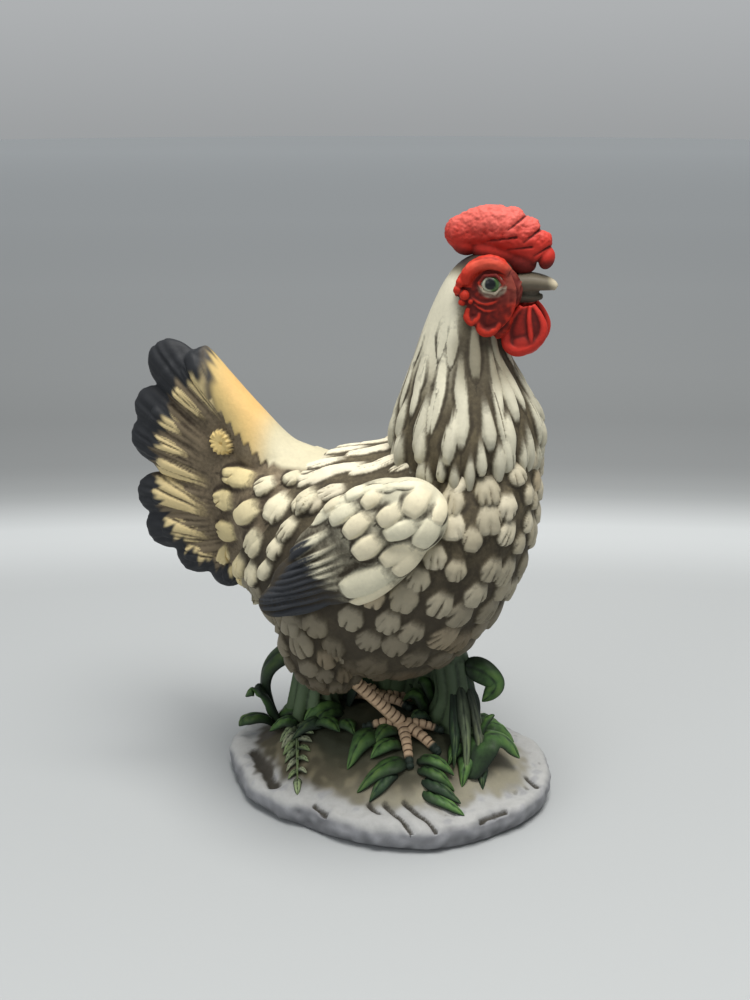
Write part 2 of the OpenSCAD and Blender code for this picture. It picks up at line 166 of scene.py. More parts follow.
right = Vector((math.cos(TURN), math.sin(TURN), 0))
forward = Vector((-math.sin(TURN) * math.cos(DIP), math.cos(TURN) * math.cos(DIP), -math.sin(DIP)))
upward = right.cross(forward)
camera = bpy.data.objects.new("camera", bpy.data.cameras.new("camera"))
camera.data.lens = LENS_MM
camera.matrix_world = Matrix((right, upward, -forward)).transposed().to_4x4()
camera.location = Vector((math.sin(TURN), -math.cos(TURN), 0)) * STAND_OFF + right * SIDESTEP
camera.location.z = EYE_HEIGHT
camera.data.clip_start = 0.01
bpy.context.scene.collection.objects.link(camera)
bpy.context.scene.camera = camera
bpy.context.scene.view_settings.view_transform = "Standard"


# ---- Body ----
# The body is a hollow casting of matte white porcelain. Its feathers are carved in the mould as
# separate raised scallops, with grooves fanning to their tips; a brown wash was wiped off the
# high spots after firing, so the hollows stay dark and the tips are cream.
GRAIN = 0.5
CREAM = np.array([0.74, 0.68, 0.52])
CHALK = np.array([0.42, 0.375, 0.268])
TAUPE = np.array([0.085, 0.066, 0.040])
DUST = np.array([0.19, 0.155, 0.088])
WASH = np.array([0.05, 0.040, 0.026])


def smooth(a, b, x):
    t = np.clip((np.asarray(x, float) - a) / (b - a), 0, 1)
    return t * t * (3 - 2 * t)


def unit(v):
    return v / max(np.linalg.norm(v), 1e-9)


def mix(one, other, share):
    """Blends two colours, or two colour fields, by a share from 0 to 1 for each place."""
    share = share[:, None] if np.ndim(share) else share
    return np.asarray(one) * (1 - share) + np.asarray(other) * share


def from_line(p, a, b):
    """How far along a line each place lies, from 0 to 1, and how far it is from the line."""
    a, b = np.array(a, float), np.array(b, float)
    t = np.clip((p - a) @ (b - a) / ((b - a) @ (b - a)), 0, 1)
    return t, np.linalg.norm(p - a - t[:, None] * (b - a), axis=1)


def box_point(node, u, v, w):
    """A place in a CAD node's box: u and w run from 0 to 1, v from -1 on its right side to 1."""
    lo, hi = (Vector(p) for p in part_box(node))
    return Vector((lo.x + u * (hi.x - lo.x), (lo.y + hi.y) / 2 + v * (hi.y - lo.y) / 2,
            lo.z + w * (hi.z - lo.z)))


def loft(bm, rings, sides, capped=True):
    """Bridges round sections, each given as (middle, half length one way, half length the other)."""
    loops = []
    for middle, across, over in rings:
        place = Matrix.Identity(4)
        normal = across.cross(over).normalized()
        for row in range(3):
            place[row][0], place[row][1] = across[row], over[row]
            place[row][2], place[row][3] = normal[row], middle[row]
        made = bmesh.ops.create_circle(bm, segments=sides, radius=1, matrix=place)
        loops.append(list({e for v in made["verts"] for e in v.link_edges}))
    for one, two in zip(loops, loops[1:]):
        bmesh.ops.bridge_loops(bm, edges=one + two)
    if capped:
        bmesh.ops.contextual_create(bm, geom=loops[0])
        bmesh.ops.contextual_create(bm, geom=loops[-1])


def clay(bm, name, grain, rounds=3, rounding=0):
    """Joins everything in the bmesh into one even skin, as wet clay is joined and sponged."""
    grain *= 1
    obj = put(bm, name + "_rough", None)
    if rounding:
        obj.modifiers.new("round", "SUBSURF").levels = rounding
        obj.modifiers["round"].render_levels = rounding
    joined = obj.modifiers.new("join", "REMESH")
    joined.mode = "VOXEL"
    joined.voxel_size = grain * MM
    sponge = obj.modifiers.new("sponge", "SMOOTH")
    sponge.iterations = rounds
    sponge.factor = 0.5
    shaped = bpy.data.meshes.new_from_object(obj.evaluated_get(bpy.context.evaluated_depsgraph_get()))
    bpy.data.objects.remove(obj)
    shaped.name = name
    whole = bpy.data.objects.new(name, shaped)
    bpy.context.scene.collection.objects.link(whole)
    shaped.shade_smooth()
    return whole


def tree_of(obj):
    return BVHTree.FromObject(obj, bpy.context.evaluated_depsgraph_get())


def points_of(obj):
    """The vertices and their normals, in millimetres."""
    mesh = obj.data
    co = np.empty(len(mesh.vertices) * 3)
    mesh.vertices.foreach_get("co", co)
    no = np.empty(len(mesh.vertices) * 3)
    mesh.vertex_normals.foreach_get("vector", no)
    return co.reshape(-1, 3) / MM, no.reshape(-1, 3)


def set_points(obj, co):
    obj.data.vertices.foreach_set("co", (co * MM).ravel())
    obj.data.update()


def store(obj, name, values):
    kind = "FLOAT" if values.ndim == 1 else "FLOAT_COLOR"
    field = obj.data.attributes.new(name, kind, "POINT")
    if kind == "FLOAT":
        field.data.foreach_set("value", values.astype(np.float32))
    else:
        full = np.concatenate([values, np.ones((len(values), 1))], axis=1)
        field.data.foreach_set("color", full.astype(np.float32).ravel())


def hollows(obj, rounds):
    """How far each vertex lies below (+) or above (-) its smoothed surroundings, in millimetres."""
    co, no = points_of(obj)
    edges = np.empty(len(obj.data.edges) * 2, int)
    obj.data.edges.foreach_get("vertices", edges)
    a, b = edges.reshape(-1, 2).T
    n = len(co)
    count = np.bincount(a, minlength=n) + np.bincount(b, minlength=n)
    flat = co.copy()
    for _ in range(rounds):
        flat = np.stack([(np.bincount(a, flat[b, k], n) + np.bincount(b, flat[a, k], n)) / count
                for k in range(3)], axis=1)
    return ((flat - co) * no).sum(axis=1)


class Feather:
    """One carved feather: where its middle is, which way its tip points, and how it is cut."""

    def __init__(self, middle, out, along, length, width, rise, colour, belly=0.55, blunt=(2, 0.5),
            grooves=4, groove_depth=0.5, groove_start=0.35, crown=0.3, soft=0.3, root=0.6, tip_colour=None,
            tip_from=0.7, seed=0):
        self.middle, self.out = np.array(middle), unit(np.array(out))
        along = np.array(along) - self.out * np.dot(along, self.out)
        self.along = unit(along)
        self.across = np.cross(self.out, self.along)
        self.length, self.width, self.rise, self.colour = length, width, rise, np.array(colour)
        self.belly, self.blunt, self.root = belly, blunt, root
        self.grooves, self.groove_depth, self.groove_start = grooves, groove_depth, groove_start
        self.crown, self.soft = crown, soft
        self.tip_colour, self.tip_from = tip_colour, tip_from
        self.rand = random.Random(seed)


def carve(obj, feathers, ground, bare=0.36, sink=0.0):
    """Raises the feathers on a skin. The highest one shows; gives its paint, relief and lift."""
    co, no = points_of(obj)
    n = len(co)
    lift, relief = np.zeros(n), np.zeros(n)
    paint = np.asarray(ground) * np.ones((n, 1))
    foot = np.zeros(n)
    for f in feathers:
        reach = 0.6 * max(f.length, f.width)
        near = np.nonzero((np.abs(co - f.middle) < reach).all(axis=1))[0]
        near = near[no[near] @ f.out > 0.15]
        if not len(near):
            continue
        d = co[near] - f.middle
        s = d @ f.along / f.length + 0.5
        w = d @ f.across / (f.width / 2)
        t = np.clip((s - f.belly) / (1 - f.belly), 0, 1)
        power, bend = f.blunt
        side = np.where(s < f.belly, f.root + (1 - f.root) * np.clip(s / f.belly, 0, 1),
            (1 - t ** power) ** bend)
        q = np.abs(w) / np.maximum(side, 0.05)
        edge = np.minimum(1 - q, (1 - s) * 2.6)
        wall = smooth(0, f.soft, edge)
        ramp = smooth(-0.05, f.belly + 0.1, s)
        cut = np.zeros(len(near))
        if f.grooves:
            fan = np.arctan2(w * f.width / 2, (s + 0.3) * f.length)
            spread = math.atan2(f.width / 2, (f.belly + 0.3) * f.length)
            for g in range(f.grooves):
                centre = spread * (-0.8 + 1.6 * (g + 0.5 + f.rand.uniform(-0.28, 0.28)) / f.grooves)
                start = f.groove_start + f.rand.uniform(-0.1, 0.25)
                thick = spread * f.rand.uniform(0.07, 0.13)
                line = np.exp(-((fan - centre) / thick) ** 2) * smooth(start, start + 0.3, s)
                cut = np.maximum(cut, line * f.rand.uniform(0.6, 1.0))
        # Painted shadow: the ground just below each feather's edge is kept darker; this is partly shade under
        # the edge and partly the wash pooled there.
        foot[near] = np.maximum(foot[near], smooth(-0.42, -0.02, edge) * smooth(0.2, 0.75, s))
        height = f.rise * wall * ramp * (1 - f.crown * np.clip(q, 0, 1) ** 2) * (1 - f.groove_depth * cut)
        wins = height > lift[near]
        won = near[wins]
        lift[won] = height[wins]
        relief[won] = (wall * ramp * (1 - 0.85 * cut))[wins]
        tone = f.colour
        if f.tip_colour is not None:
            wavy = s[wins] + 0.05 * np.sin(w[wins] * 9 + f.rand.uniform(0, 6))
            tone = mix(tone, f.tip_colour, smooth(f.tip_from - 0.06, f.tip_from + 0.06, wavy))
        paint[won] = mix(paint[won], tone, smooth(0.1, 0.5, relief[won]))
    set_points(obj, co + no * (lift - sink)[:, None])
    return paint, np.maximum(relief, bare * (1 - foot * (relief < bare))), lift


def finish(obj, material, nodes, paint=None, relief=None):
    """Gives a piece its paint and material, hangs it on the root body and hides the CAD nodes it replaces."""
    if paint is not None:
        store(obj, "paint", paint)
        store(obj, "relief", relief)
    if material.name not in [m.name for m in obj.data.materials if m]:
        obj.data.materials.append(material)
    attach(obj, "root")
    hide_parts(*nodes)


def wash_group():
    """The wiped wash: dark in the hollows, thin on the slopes, gone from the rubbed tips."""
    group = bpy.data.node_groups.new("wiped_wash", "ShaderNodeTree")
    face = group.interface
    for name, kind, value in [("Paint", "NodeSocketColor", (0.7, 0.65, 0.5, 1)),
            ("Wash", "NodeSocketColor", (0.09, 0.075, 0.05, 1)), ("Relief", "NodeSocketFloat", 1.0),
            ("Wiped", "NodeSocketFloat", 0.5), ("Blotch", "NodeSocketFloat", 0.25)]:
        face.new_socket(name, in_out="INPUT", socket_type=kind).default_value = value
    for name, kind in [("Color", "NodeSocketColor"), ("Roughness", "NodeSocketFloat"),
            ("Height", "NodeSocketFloat")]:
        face.new_socket(name, in_out="OUTPUT", socket_type=kind)
    given = group.nodes.new("NodeGroupInput")
    out = group.nodes.new("NodeGroupOutput")
    link = group.links.new
    coords = node_of(group, "ShaderNodeTexCoord")
    broad = node_of(group, "ShaderNodeTexNoise", Scale=160.0, Detail=4.0, Roughness=0.6)
    fine = node_of(group, "ShaderNodeTexNoise", Scale=900.0, Detail=3.0, Roughness=0.6)
    for tex in (broad, fine):
        link(coords.outputs["Object"], tex.inputs["Vector"])

    broad_off = calc(group, "SUBTRACT", broad.outputs["Fac"], 0.5)
    fine_off = calc(group, "SUBTRACT", fine.outputs["Fac"], 0.5)
    mottled = calc(group, "ADD", calc(group, "MULTIPLY", broad_off, 1.1),
            calc(group, "MULTIPLY", fine_off, 0.9))
    stirred = calc(group, "MULTIPLY_ADD", mottled, given.outputs["Blotch"], given.outputs["Relief"])
    wiped = calc(group, "MAXIMUM", given.outputs["Wiped"], 0.01)
    curve = calc(group, "POWER", calc(group, "DIVIDE", stirred, wiped, clamp=True), 1.35)
    blend = node_of(group, "ShaderNodeMix", data_type="RGBA")
    link(curve, blend.inputs[0])
    link(given.outputs["Wash"], blend.inputs["A"])
    link(given.outputs["Paint"], blend.inputs["B"])
    bright = node_of(group, "ShaderNodeHueSaturation")
    link(blend.outputs["Result"], bright.inputs["Color"])
    link(calc(group, "MULTIPLY_ADD", mottled, 0.22, 1.0), bright.inputs["Value"])
    link(bright.outputs["Color"], out.inputs["Color"])
    link(calc(group, "MULTIPLY_ADD", curve, -0.16, 0.78), out.inputs["Roughness"])
    both = calc(group, "ADD", fine.outputs["Fac"], broad.outputs["Fac"])
    link(calc(group, "MULTIPLY", both, 0.6), out.inputs["Height"])
    return group


wiped_wash = wash_group()


def glazed_material(name, wash, wiped=0.62, blotch=0.3, bump=0.25, sheen_coat=0.0):
    """Painted bisque: the colour is in the piece's own paint and relief fields."""
    mat, tree, shader = new_material(name)
    paint = node_of(tree, "ShaderNodeAttribute", attribute_name="paint")
    relief = node_of(tree, "ShaderNodeAttribute", attribute_name="relief")
    group = node_of(tree, "ShaderNodeGroup", node_tree=wiped_wash)
    group.inputs["Wash"].default_value = (*wash, 1)
    group.inputs["Wiped"].default_value = wiped
    group.inputs["Blotch"].default_value = blotch
    tree.links.new(paint.outputs["Color"], group.inputs["Paint"])
    tree.links.new(relief.outputs["Fac"], group.inputs["Relief"])
    tree.links.new(group.outputs["Color"], shader.inputs["Base Color"])
    tree.links.new(group.outputs["Roughness"], shader.inputs["Roughness"])
    bumps = node_of(tree, "ShaderNodeBump", Strength=bump, Distance=0.0004)
    tree.links.new(group.outputs["Height"], bumps.inputs["Height"])
    tree.links.new(bumps.outputs["Normal"], shader.inputs["Normal"])
    shader.inputs["Specular IOR Level"].default_value = 0.28
    shader.inputs["Coat Weight"].default_value = sheen_coat
    shader.inputs["Coat Roughness"].default_value = 0.35
    return mat


plumage_mat = glazed_material("washed_bisque", WASH, blotch=0.42, bump=0.35)

# Sections from rump to breast: place along the body, underside, back and half width, as shares
# of the body casting's own box.
BODY_SECTIONS = [(-0.012, 0.42, 0.56, 0.14), (0.015, 0.36, 0.64, 0.28), (0.06, 0.285, 0.715, 0.45),
    (0.13, 0.205, 0.775, 0.66), (0.22, 0.125, 0.82, 0.84), (0.34, 0.05, 0.855, 0.96),
    (0.48, 0.01, 0.888, 1.0), (0.604, 0.024, 0.925, 1.0), (0.725, 0.091, 0.97, 0.965),
    (0.826, 0.194, 0.995, 0.87), (0.905, 0.32, 1.0, 0.74), (0.965, 0.466, 0.985, 0.56),
    (1.0, 0.60, 0.94, 0.34)]
VENT_RADIUS, VENT_SLOPE, VENT_DEPTH = 4.2, 1.2, 3.0

bm = bmesh.new()
rings = []
for u, low, high, half in BODY_SECTIONS:
    middle = box_point("body_shell", u, 0, (low + high) / 2)
    rings.append((middle, box_point("body_shell", u, half, (low + high) / 2) - middle,
            box_point("body_shell", u, 0, high) - middle))
loft(bm, rings, 24)
body = clay(bm, "hen_body", GRAIN * 1.18, rounds=4, rounding=2)
body_tree = tree_of(body)


def on_skin(tree, origin, direction):
    """Where a ray from inside meets the skin, in millimetres, with the skin's normal."""
    hit, normal, _, _ = tree.ray_cast(Vector(origin) * MM, Vector(direction))
    if hit is None:
        return None, None
    if normal.dot(Vector(direction)) < 0:
        normal = -normal
    return np.array(hit) / MM, np.array(normal)


def scatter(tree, heart, pole, gap_at, rng, reach=(20, 180), tries=5200):
    """Uneven but well spaced places all round a skin, each with the way its feather lies."""
    pole = unit(np.array(pole, float))
    side = unit(np.cross(pole, [0, 1, 0]))
    other = np.cross(pole, side)
    kept = []
    for i in range(tries):
        lat = math.acos(1 - 2 * ((i * 0.754877) % 1))
        lon = 2 * math.pi * ((i * 0.569840) % 1)
        if not reach[0] <= math.degrees(lat) <= reach[1]:
            continue
        ring = math.cos(lon) * side + math.sin(lon) * other
        hit, normal = on_skin(tree, heart, math.cos(lat) * pole + math.sin(lat) * ring)
        if hit is None or any(np.linalg.norm(hit - k[0]) < 0.5 * (gap_at(hit) + k[3]) for k in kept):
            continue
        down = -math.sin(lat) * pole + math.cos(lat) * ring
        down = down + np.cross(normal, down) * rng.uniform(-0.25, 0.25)
        kept.append((hit, normal, down, gap_at(hit)))
    return kept


def body_gap(p):
    """The scallops grow from the foot of the neck to the belly."""
    return 6.5 + 1.5 * float(smooth(105, 66, p[2]))


def body_colour(p, rng):
    """Cream on the back, chalk on the breast, browner under the belly and darker there as painted shade."""
    light = float(smooth(46, 118, p[2]))
    base = mix(mix(TAUPE, CHALK, light), CREAM, rng.uniform(0, 0.5) * light)
    rosy = np.array([1.04, 0.97, 0.9]) if rng.random() < 0.14 else np.ones(3)
    return base * rosy * rng.uniform(0.86, 1.08)


def wing_oval(p):
    """Below 1 under the wing, 1 at its outline and more further off."""
    a = (p[:, 0] - 22) * -0.83 + (p[:, 2] - 113) * -0.557
    b = (p[:, 0] - 22) * -0.557 + (p[:, 2] - 113) * 0.83
    oval = np.hypot((a - 28) / 36, (b - 4.5 + 0.07 * (a - 20)) / (17.0 - 0.10 * np.clip(a - 20, 0, 50)))
    return np.where(np.abs(p[:, 1]) > 15, oval, 9)


def saddle(p):
    """1 over the rump and back, which were left smooth and pale in front of the tail coverts."""
    return smooth(-16, -24, p[:, 0] - 0.35 * (p[:, 2] - 118)) * smooth(80, 86, p[:, 2] + 0.3 * (p[:, 0] + 36))


rng = random.Random(7)
heart = np.array(box_point("body_shell", 0.5, 0, 0.46)) / MM
shingles = []
for hit, normal, down, gap in scatter(body_tree, heart, (0.42, 0, 0.9), body_gap, rng):
    if wing_oval(hit[None])[0] < 0.92 or saddle(hit[None])[0] > 0.5:
        continue
    size = (gap + 2.2 + float(smooth(95, 70, hit[2]))) * rng.uniform(0.84, 1.14)
    back = float(smooth(0.45, 0.8, normal[2]) * smooth(110, 119, hit[2]) * smooth(34, 24, hit[0]))
    down = down + np.array([-1.6, 0, -0.3]) * back
    tone = mix(body_colour(hit, rng), CREAM * 1.06, back)
    shingles.append(Feather(hit, normal, down, size * rng.uniform(1.15, 1.4) * (1 + 0.9 * back),
            size * (1 - 0.35 * back), 2.1 - 1.1 * back, tone, grooves=rng.choice([2, 3, 4, 5]), soft=0.36,
            crown=0.48, root=0.45, blunt=rng.choice([(2, 0.5), (1.8, 0.6), (2.4, 0.5)]), seed=rng.random()))
co, no = points_of(body)
# Painted shadow: the bare ground round the wing's outline is darker.
wing_shadow = smooth(1.22, 1.06, wing_oval(co))
pale = saddle(co) * smooth(111, 117, co[:, 2])
# The bare ground between the scallops is darker towards the belly, as painted shade.
olive = DUST * (0.62 + 0.62 * smooth(78, 118, co[:, 2]))[:, None]
bare = (0.05 + 0.17 * smooth(66, 120, co[:, 2])) * (1 - 0.3 * wing_shadow) * (1 - pale) + 0.8 * pale
body_paint, body_relief, _ = carve(body, shingles, mix(olive, CREAM * 0.9, pale), bare=bare, sink=0.2)
co, no = points_of(body)
# Painted shade: the vent is a shallow dent given no relief, so it takes the full wash in place of the shade
# of a deep hole.
under = (smooth(VENT_RADIUS, VENT_RADIUS - VENT_SLOPE, np.hypot(co[:, 0] + 2, co[:, 1]))
        * (co[:, 2] < heart[2] - 20))
set_points(body, co + np.array([0, 0, VENT_DEPTH]) * under[:, None])
body_relief = body_relief * (1 - under)


# ---- Neck and head ----
# The neck is cast with the body and widens into a cape of long hackle feathers. They are carved
# as dripping strands with pointed tips; the nape is almost smooth and was left nearly white.
NECK_SECTIONS = [(-0.16, 0.478, 0.33, 0.75), (-0.06, 0.478, 0.43, 0.9), (0.02, 0.489, 0.485, 0.985),
    (0.143, 0.5, 0.50, 0.97), (0.265, 0.491, 0.468, 0.85), (0.388, 0.463, 0.39, 0.7),
    (0.511, 0.438, 0.313, 0.565), (0.633, 0.44, 0.262, 0.48), (0.741, 0.479, 0.2425, 0.44),
    (0.848, 0.549, 0.245, 0.42), (0.94, 0.597, 0.205, 0.34), (0.992, 0.62, 0.1, 0.16)]
NECK_HALF_MM = 23.5
NECK_HUE = np.array([0.67, 0.635, 0.49])


heights, middles, half_lengths, half_widths = np.array(NECK_SECTIONS).T


def neck_axis(w):
    """The middle of the neck at a height, in millimetres."""
    return np.array(box_point("neck_head_shell", np.interp(w, heights, middles), 0, w)) / MM


bm = bmesh.new()
rings = []
for w, u, half, side in NECK_SECTIONS:
    middle = box_point("neck_head_shell", u, 0, w)
    rings.append((middle, box_point("neck_head_shell", u + half, 0, w) - middle,
            box_point("neck_head_shell", u, side, w) - middle))
loft(bm, rings, 24)
neck = clay(bm, "hen_neck", GRAIN * 0.9, rounds=4, rounding=2)
neck_tree = tree_of(neck)

hackles = []
rows = [(0.66, 22, 4.6, 0.8), (0.54, 25, 5.0, 1.2), (0.42, 24, 5.0, 1.6), (0.30, 21, 5.2, 2.1),
    (0.19, 17, 5.2, 2.6), (0.10, 14, 5.0, 2.9), (0.03, 11, 4.8, 2.9)]
for k, (w, length, width, rise) in enumerate(rows):
    girth = 2 * math.pi * NECK_HALF_MM * np.interp(w, heights, 0.5 * (half_lengths + half_widths))
    count = round(girth / (width * (1.0 + 0.3 * float(smooth(0.55, 0.2, w)))))
    for j in range(count):
        lon = 2 * math.pi * (j + 0.5 * (k % 2) + rng.uniform(-0.2, 0.2)) / count
        high = neck_axis(w + rng.uniform(-0.045, 0.045))
        hit, normal = on_skin(neck_tree, high, (math.cos(lon), math.sin(lon), 0))
        if hit is None:
            continue
        behind = float(smooth(0.5, -0.3, math.cos(lon)) * smooth(0.25, 0.5, w))
        out = np.array([math.cos(lon), math.sin(lon), 0])
        along = np.array([0, 0, -1.0]) + 0.25 * out + np.array([0, rng.uniform(-0.14, 0.14), 0])
        # The lower rows are painted darker towards the foot of the neck, as painted shade.
        tone = NECK_HUE * (0.66 + 0.20 * float(smooth(0.0, 0.16, w)) + 0.10 * float(smooth(0.1, 0.5, w))
            + 0.1 * behind) * rng.uniform(0.86, 1.04)
        hackles.append(Feather(hit + np.array([0, 0, -0.2 * length]), normal, along,
                length * rng.uniform(0.85, 1.3), width * rng.uniform(0.75, 1.2), rise * (1 - 0.7 * behind),
                tone, belly=rng.uniform(0.5, 0.72), blunt=rng.choice([(1.3, 0.95), (1.5, 0.8), (1.8, 0.7)]),
                grooves=rng.choice([0, 0, 1]), groove_start=0.0, groove_depth=0.3, soft=0.6, crown=0.6,
                root=0.3, seed=rng.random()))
co, no = points_of(neck)
lo, hi = (np.array(p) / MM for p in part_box("neck_head_shell"))
high = (co[:, 2] - lo[2]) / (hi[2] - lo[2])
nape = smooth(0.25, 0.6, high) * smooth(0.15, -0.3, (co[:, 0] - (lo[0] + 0.48 * (hi[0] - lo[0]))) / 12)
# Painted shade: the throat under the face and wattles, and the crown under the comb, are painted dark.
throat_shade = smooth(14, 6, np.hypot((co[:, 0] - 33) * 0.75, co[:, 2] - 158)) * smooth(1, 4, np.abs(co[:, 1]))
crown = mix((0.15, 0.13, 0.085), (0.035, 0.02, 0.022), smooth(0.90, 0.955, high))
head_shade = np.maximum(smooth(0.86, 0.93, high), 0.8 * throat_shade)
ground = mix(mix(DUST, NECK_HUE, nape), crown, head_shade)
paint, relief, _ = carve(neck, hackles, ground, bare=0.26 + 0.48 * nape, sink=0.3)
finish(neck, plumage_mat, ["neck_head_shell"], mix(paint, ground, 0.75 * throat_shade), relief)


# ---- Wings ----
# Each wing is pressed in its own mould and stuck to the flank before firing. Rounded coverts
# cover the shoulder, long grooved quills run to the tip, and the last third is blue-black.
INK = np.array([0.036, 0.039, 0.045])
IVORY = np.array([0.76, 0.715, 0.53])


def lump(bm, middle, radii, tilt=0.0, axis="Y"):
    """One pressed ball of clay; a positive tilt about Y leans its top towards the head."""
    place = (Matrix.Translation(Vector(middle) * MM) @ Matrix.Rotation(math.radians(tilt), 4,
            axis) @ Matrix.Diagonal((*(Vector(radii) * MM), 1)))
    bmesh.ops.create_uvsphere(bm, u_segments=28, v_segments=16, radius=1, matrix=place)


def flow(points, count):
    """Extra points on a smooth line through the given ones."""
    p = np.array(points, float)
    p = np.vstack([2 * p[0] - p[1], p, 2 * p[-1] - p[-2]])
    out = []
    for t in np.linspace(0, len(p) - 3 - 1e-6, count):
        i, f = int(t), t - int(t)
        a, b, c, d = p[i:i + 4]
        out.append(0.5 * (2 * b + (c - a) * f + (2 * a - 5 * b + 4 * c - d) * f ** 2
                + (3 * b - a - 3 * c + d) * f ** 3))
    return np.array(out)


def rod(bm, points, count=16, sides=12, flat=1.0, up=(0, 0, 1)):
    """A rolled strand of clay along (x, y, z, radius) points, with rounded ends."""
    line = flow(points, count)
    steps = [line[0] - (line[1] - line[0]) * 0.3] + list(line) + [line[-1] + (line[-1] - line[-2]) * 0.3]
    rings = []
    for i, row in enumerate(steps):
        near = (steps[max(i - 1, 0)], steps[min(i + 1, len(steps) - 1)])
        t = Vector(near[1][:3] - near[0][:3]).normalized()
        a = t.cross(Vector(up))
        a = a.normalized() if a.length > 0.05 else t.cross(Vector((0, 1, 0))).normalized()
        r = max(row[3], 0.05) * (0.45 if i in (0, len(steps) - 1) else 1)
        rings.append((Vector(row[:3]) * MM, a * r * MM, a.cross(t) * r * flat * MM))
    loft(bm, rings, sides)


def mirrored(obj, name):
    """The same piece for the other side of the bird."""
    bm = bmesh.new()
    bm.from_mesh(obj.data)
    bmesh.ops.scale(bm, vec=(1, -1, 1), verts=bm.verts)
    bmesh.ops.reverse_faces(bm, faces=bm.faces)
    mesh = bpy.data.meshes.new(name)
    bm.to_mesh(mesh)
    bm.free()
    mesh.materials.append(obj.data.materials[0])
    mesh.shade_smooth()
    other = bpy.data.objects.new(name, mesh)
    bpy.context.scene.collection.objects.link(other)
    return other


def flat_feather(tree, start, end, width, y, rise, colour, seed, **cut):
    """A feather on the right-hand face of a flat piece, from its root to its tip seen from the side."""
    x, z = 0.5 * (start[0] + end[0]), 0.5 * (start[1] + end[1])
    hit, normal, _, _ = tree.ray_cast(Vector((x, y - 40, z)) * MM, Vector((0, 1, 0)))
    if hit is None:
        hit, _, _, _ = tree.find_nearest(Vector((x, y, z)) * MM)
        normal = Vector((0, -1, 0))
    along = np.array([end[0] - start[0], 0, end[1] - start[1]])
    return Feather(np.array(hit) / MM, np.array(normal) - [0, 1.0, 0], along, np.linalg.norm(along) * 1.1,
        width, rise, colour, seed=seed, **cut)


shoulder = np.array(box_point("wing_right", 0.9, 1, 0.75)) / MM
down = unit(np.array([-0.83, 0, -0.557]))
edgewise = np.array([down[2], 0, -down[0]])
bm = bmesh.new()
for a, b, ra, rb, y, ry in [(8, 4.5, 13, 12.5, -31.5, 9.4), (22, 5, 16, 15.5, -32, 8.6),
        (35, 3.6, 16, 13.8, -33, 6.9), (47, 2.4, 13.5, 10, -34, 5.2), (57, 1.2, 9.5, 6.2, -34.8, 4.0),
        (26, -4.5, 20, 7.5, -34.5, 5.8), (20, 15, 16, 5.5, -31.5, 6.5), (6, 6, 10, 11, -33, 7.5)]:
    spot = shoulder + down * a + edgewise * b
    lump(bm, (spot[0], y, spot[2]), (ra, ry, rb), math.degrees(math.atan2(-0.557, 0.83)))
wing = clay(bm, "hen_wing_right", GRAIN * 0.85, rounds=30)
wing_tree = tree_of(wing)

plumes = []
covert = dict(grooves=0, crown=0.6, soft=0.5, root=0.7, belly=0.55)
ribbed = dict(grooves=1, groove_depth=0.35, groove_start=0.1, crown=0.8, soft=0.7, root=0.6, belly=0.7,
    blunt=(2, 0.6))
for root, tip, width, rise in [((15, 119), (6, 112), 7.5, 1.9), ((21, 115), (8, 108), 7.4, 2.0),
        ((25, 116), (18, 105), 9.8, 1.7), ((9, 109), (-1, 101), 8.8, 2.1), ((5, 116), (-4, 107), 7.6, 2.0),
        ((1, 118), (-9.5, 110), 6.2, 1.9), ((-5, 119), (-12, 112), 5, 1.6), ((7, 122), (1, 116), 6, 1.7),
        ((3, 123), (-5, 117), 5.5, 1.6), ((19, 107), (7, 99.5), 7.4, 2.0), ((21, 106), (11, 96), 7.6, 1.8),
        ((21, 125), (15, 115), 9, 1.6), ((14, 99), (-5.5, 88.5), 11, 2.2), ((15, 95), (-3, 83), 6.6, 1.7),
        ((27, 121), (22, 112), 7, 1.2)]:
    tone = IVORY if rng.random() < 0.55 else np.array((0.74, 0.67, 0.48))
    plumes.append(flat_feather(wing_tree, root, tip, width, -40, rise, tone * rng.uniform(0.92, 1.04),
            rng.random(), **covert))
for j in range(7):
    x = 14 - 5.4 * j
    plumes.append(flat_feather(wing_tree, (x + 7, 125.6 - 0.75 * j - 0.12 * j * j),
            (x - 5, 122.4 - 1.05 * j - 0.19 * j * j), 3.4, -38, 0.8, IVORY * 0.96, rng.random(), grooves=1,
            crown=0.3, root=0.3, blunt=(1.3, 0.9)))
for root, tip, width, rise, shift in [((-6, 110), (-24.5, 96.5), 5.4, 1.9, 0.52),
        ((-3, 106), (-25, 92.4), 2.9, 1.8, 0.50), ((-1, 103), (-27, 89.6), 2.8, 1.9, 0.50),
        ((-1, 100), (-29, 87), 2.9, 1.9, 0.48), ((-1, 97.2), (-31.5, 84.6), 2.9, 1.9, 0.44),
        ((-1, 94.4), (-33.5, 82.4), 3.0, 1.9, 0.38), ((-1, 91.6), (-35, 80.2), 3.2, 1.9, 0.30),
        ((0, 88.8), (-34, 78.4), 3.3, 1.8, 0.18), ((1, 86), (-31, 76.8), 3.3, 1.7, 0.08),
        ((-1, 84), (-25, 75.8), 3.2, 1.5, 0.0)]:
    plumes.append(flat_feather(wing_tree, root, tip, width, -38, rise, IVORY * rng.uniform(0.78, 1.0),
            rng.random(), tip_colour=INK, tip_from=shift, **ribbed))
co, no = points_of(wing)
span = (co - shoulder) @ down
paint, relief, _ = carve(wing, plumes, IVORY * 0.8, sink=0.6, bare=0.36 + 0.35 * smooth(14, 4, span) - 0.18
    * smooth(24, 28, span))
co, no = points_of(wing)
black = smooth(38, 43, (co - shoulder) @ down + 1.8 * np.sin(co[:, 2] * 1.6) + 0.42 * (92 - co[:, 2]))
wing_mat = glazed_material("wing_glaze", WASH, wiped=0.55, blotch=0.34, bump=0.4)
finish(wing, wing_mat, ["wing_right"], mix(paint, INK, black), relief)
finish(mirrored(wing, "hen_wing_left"), wing_mat, ["wing_left"])


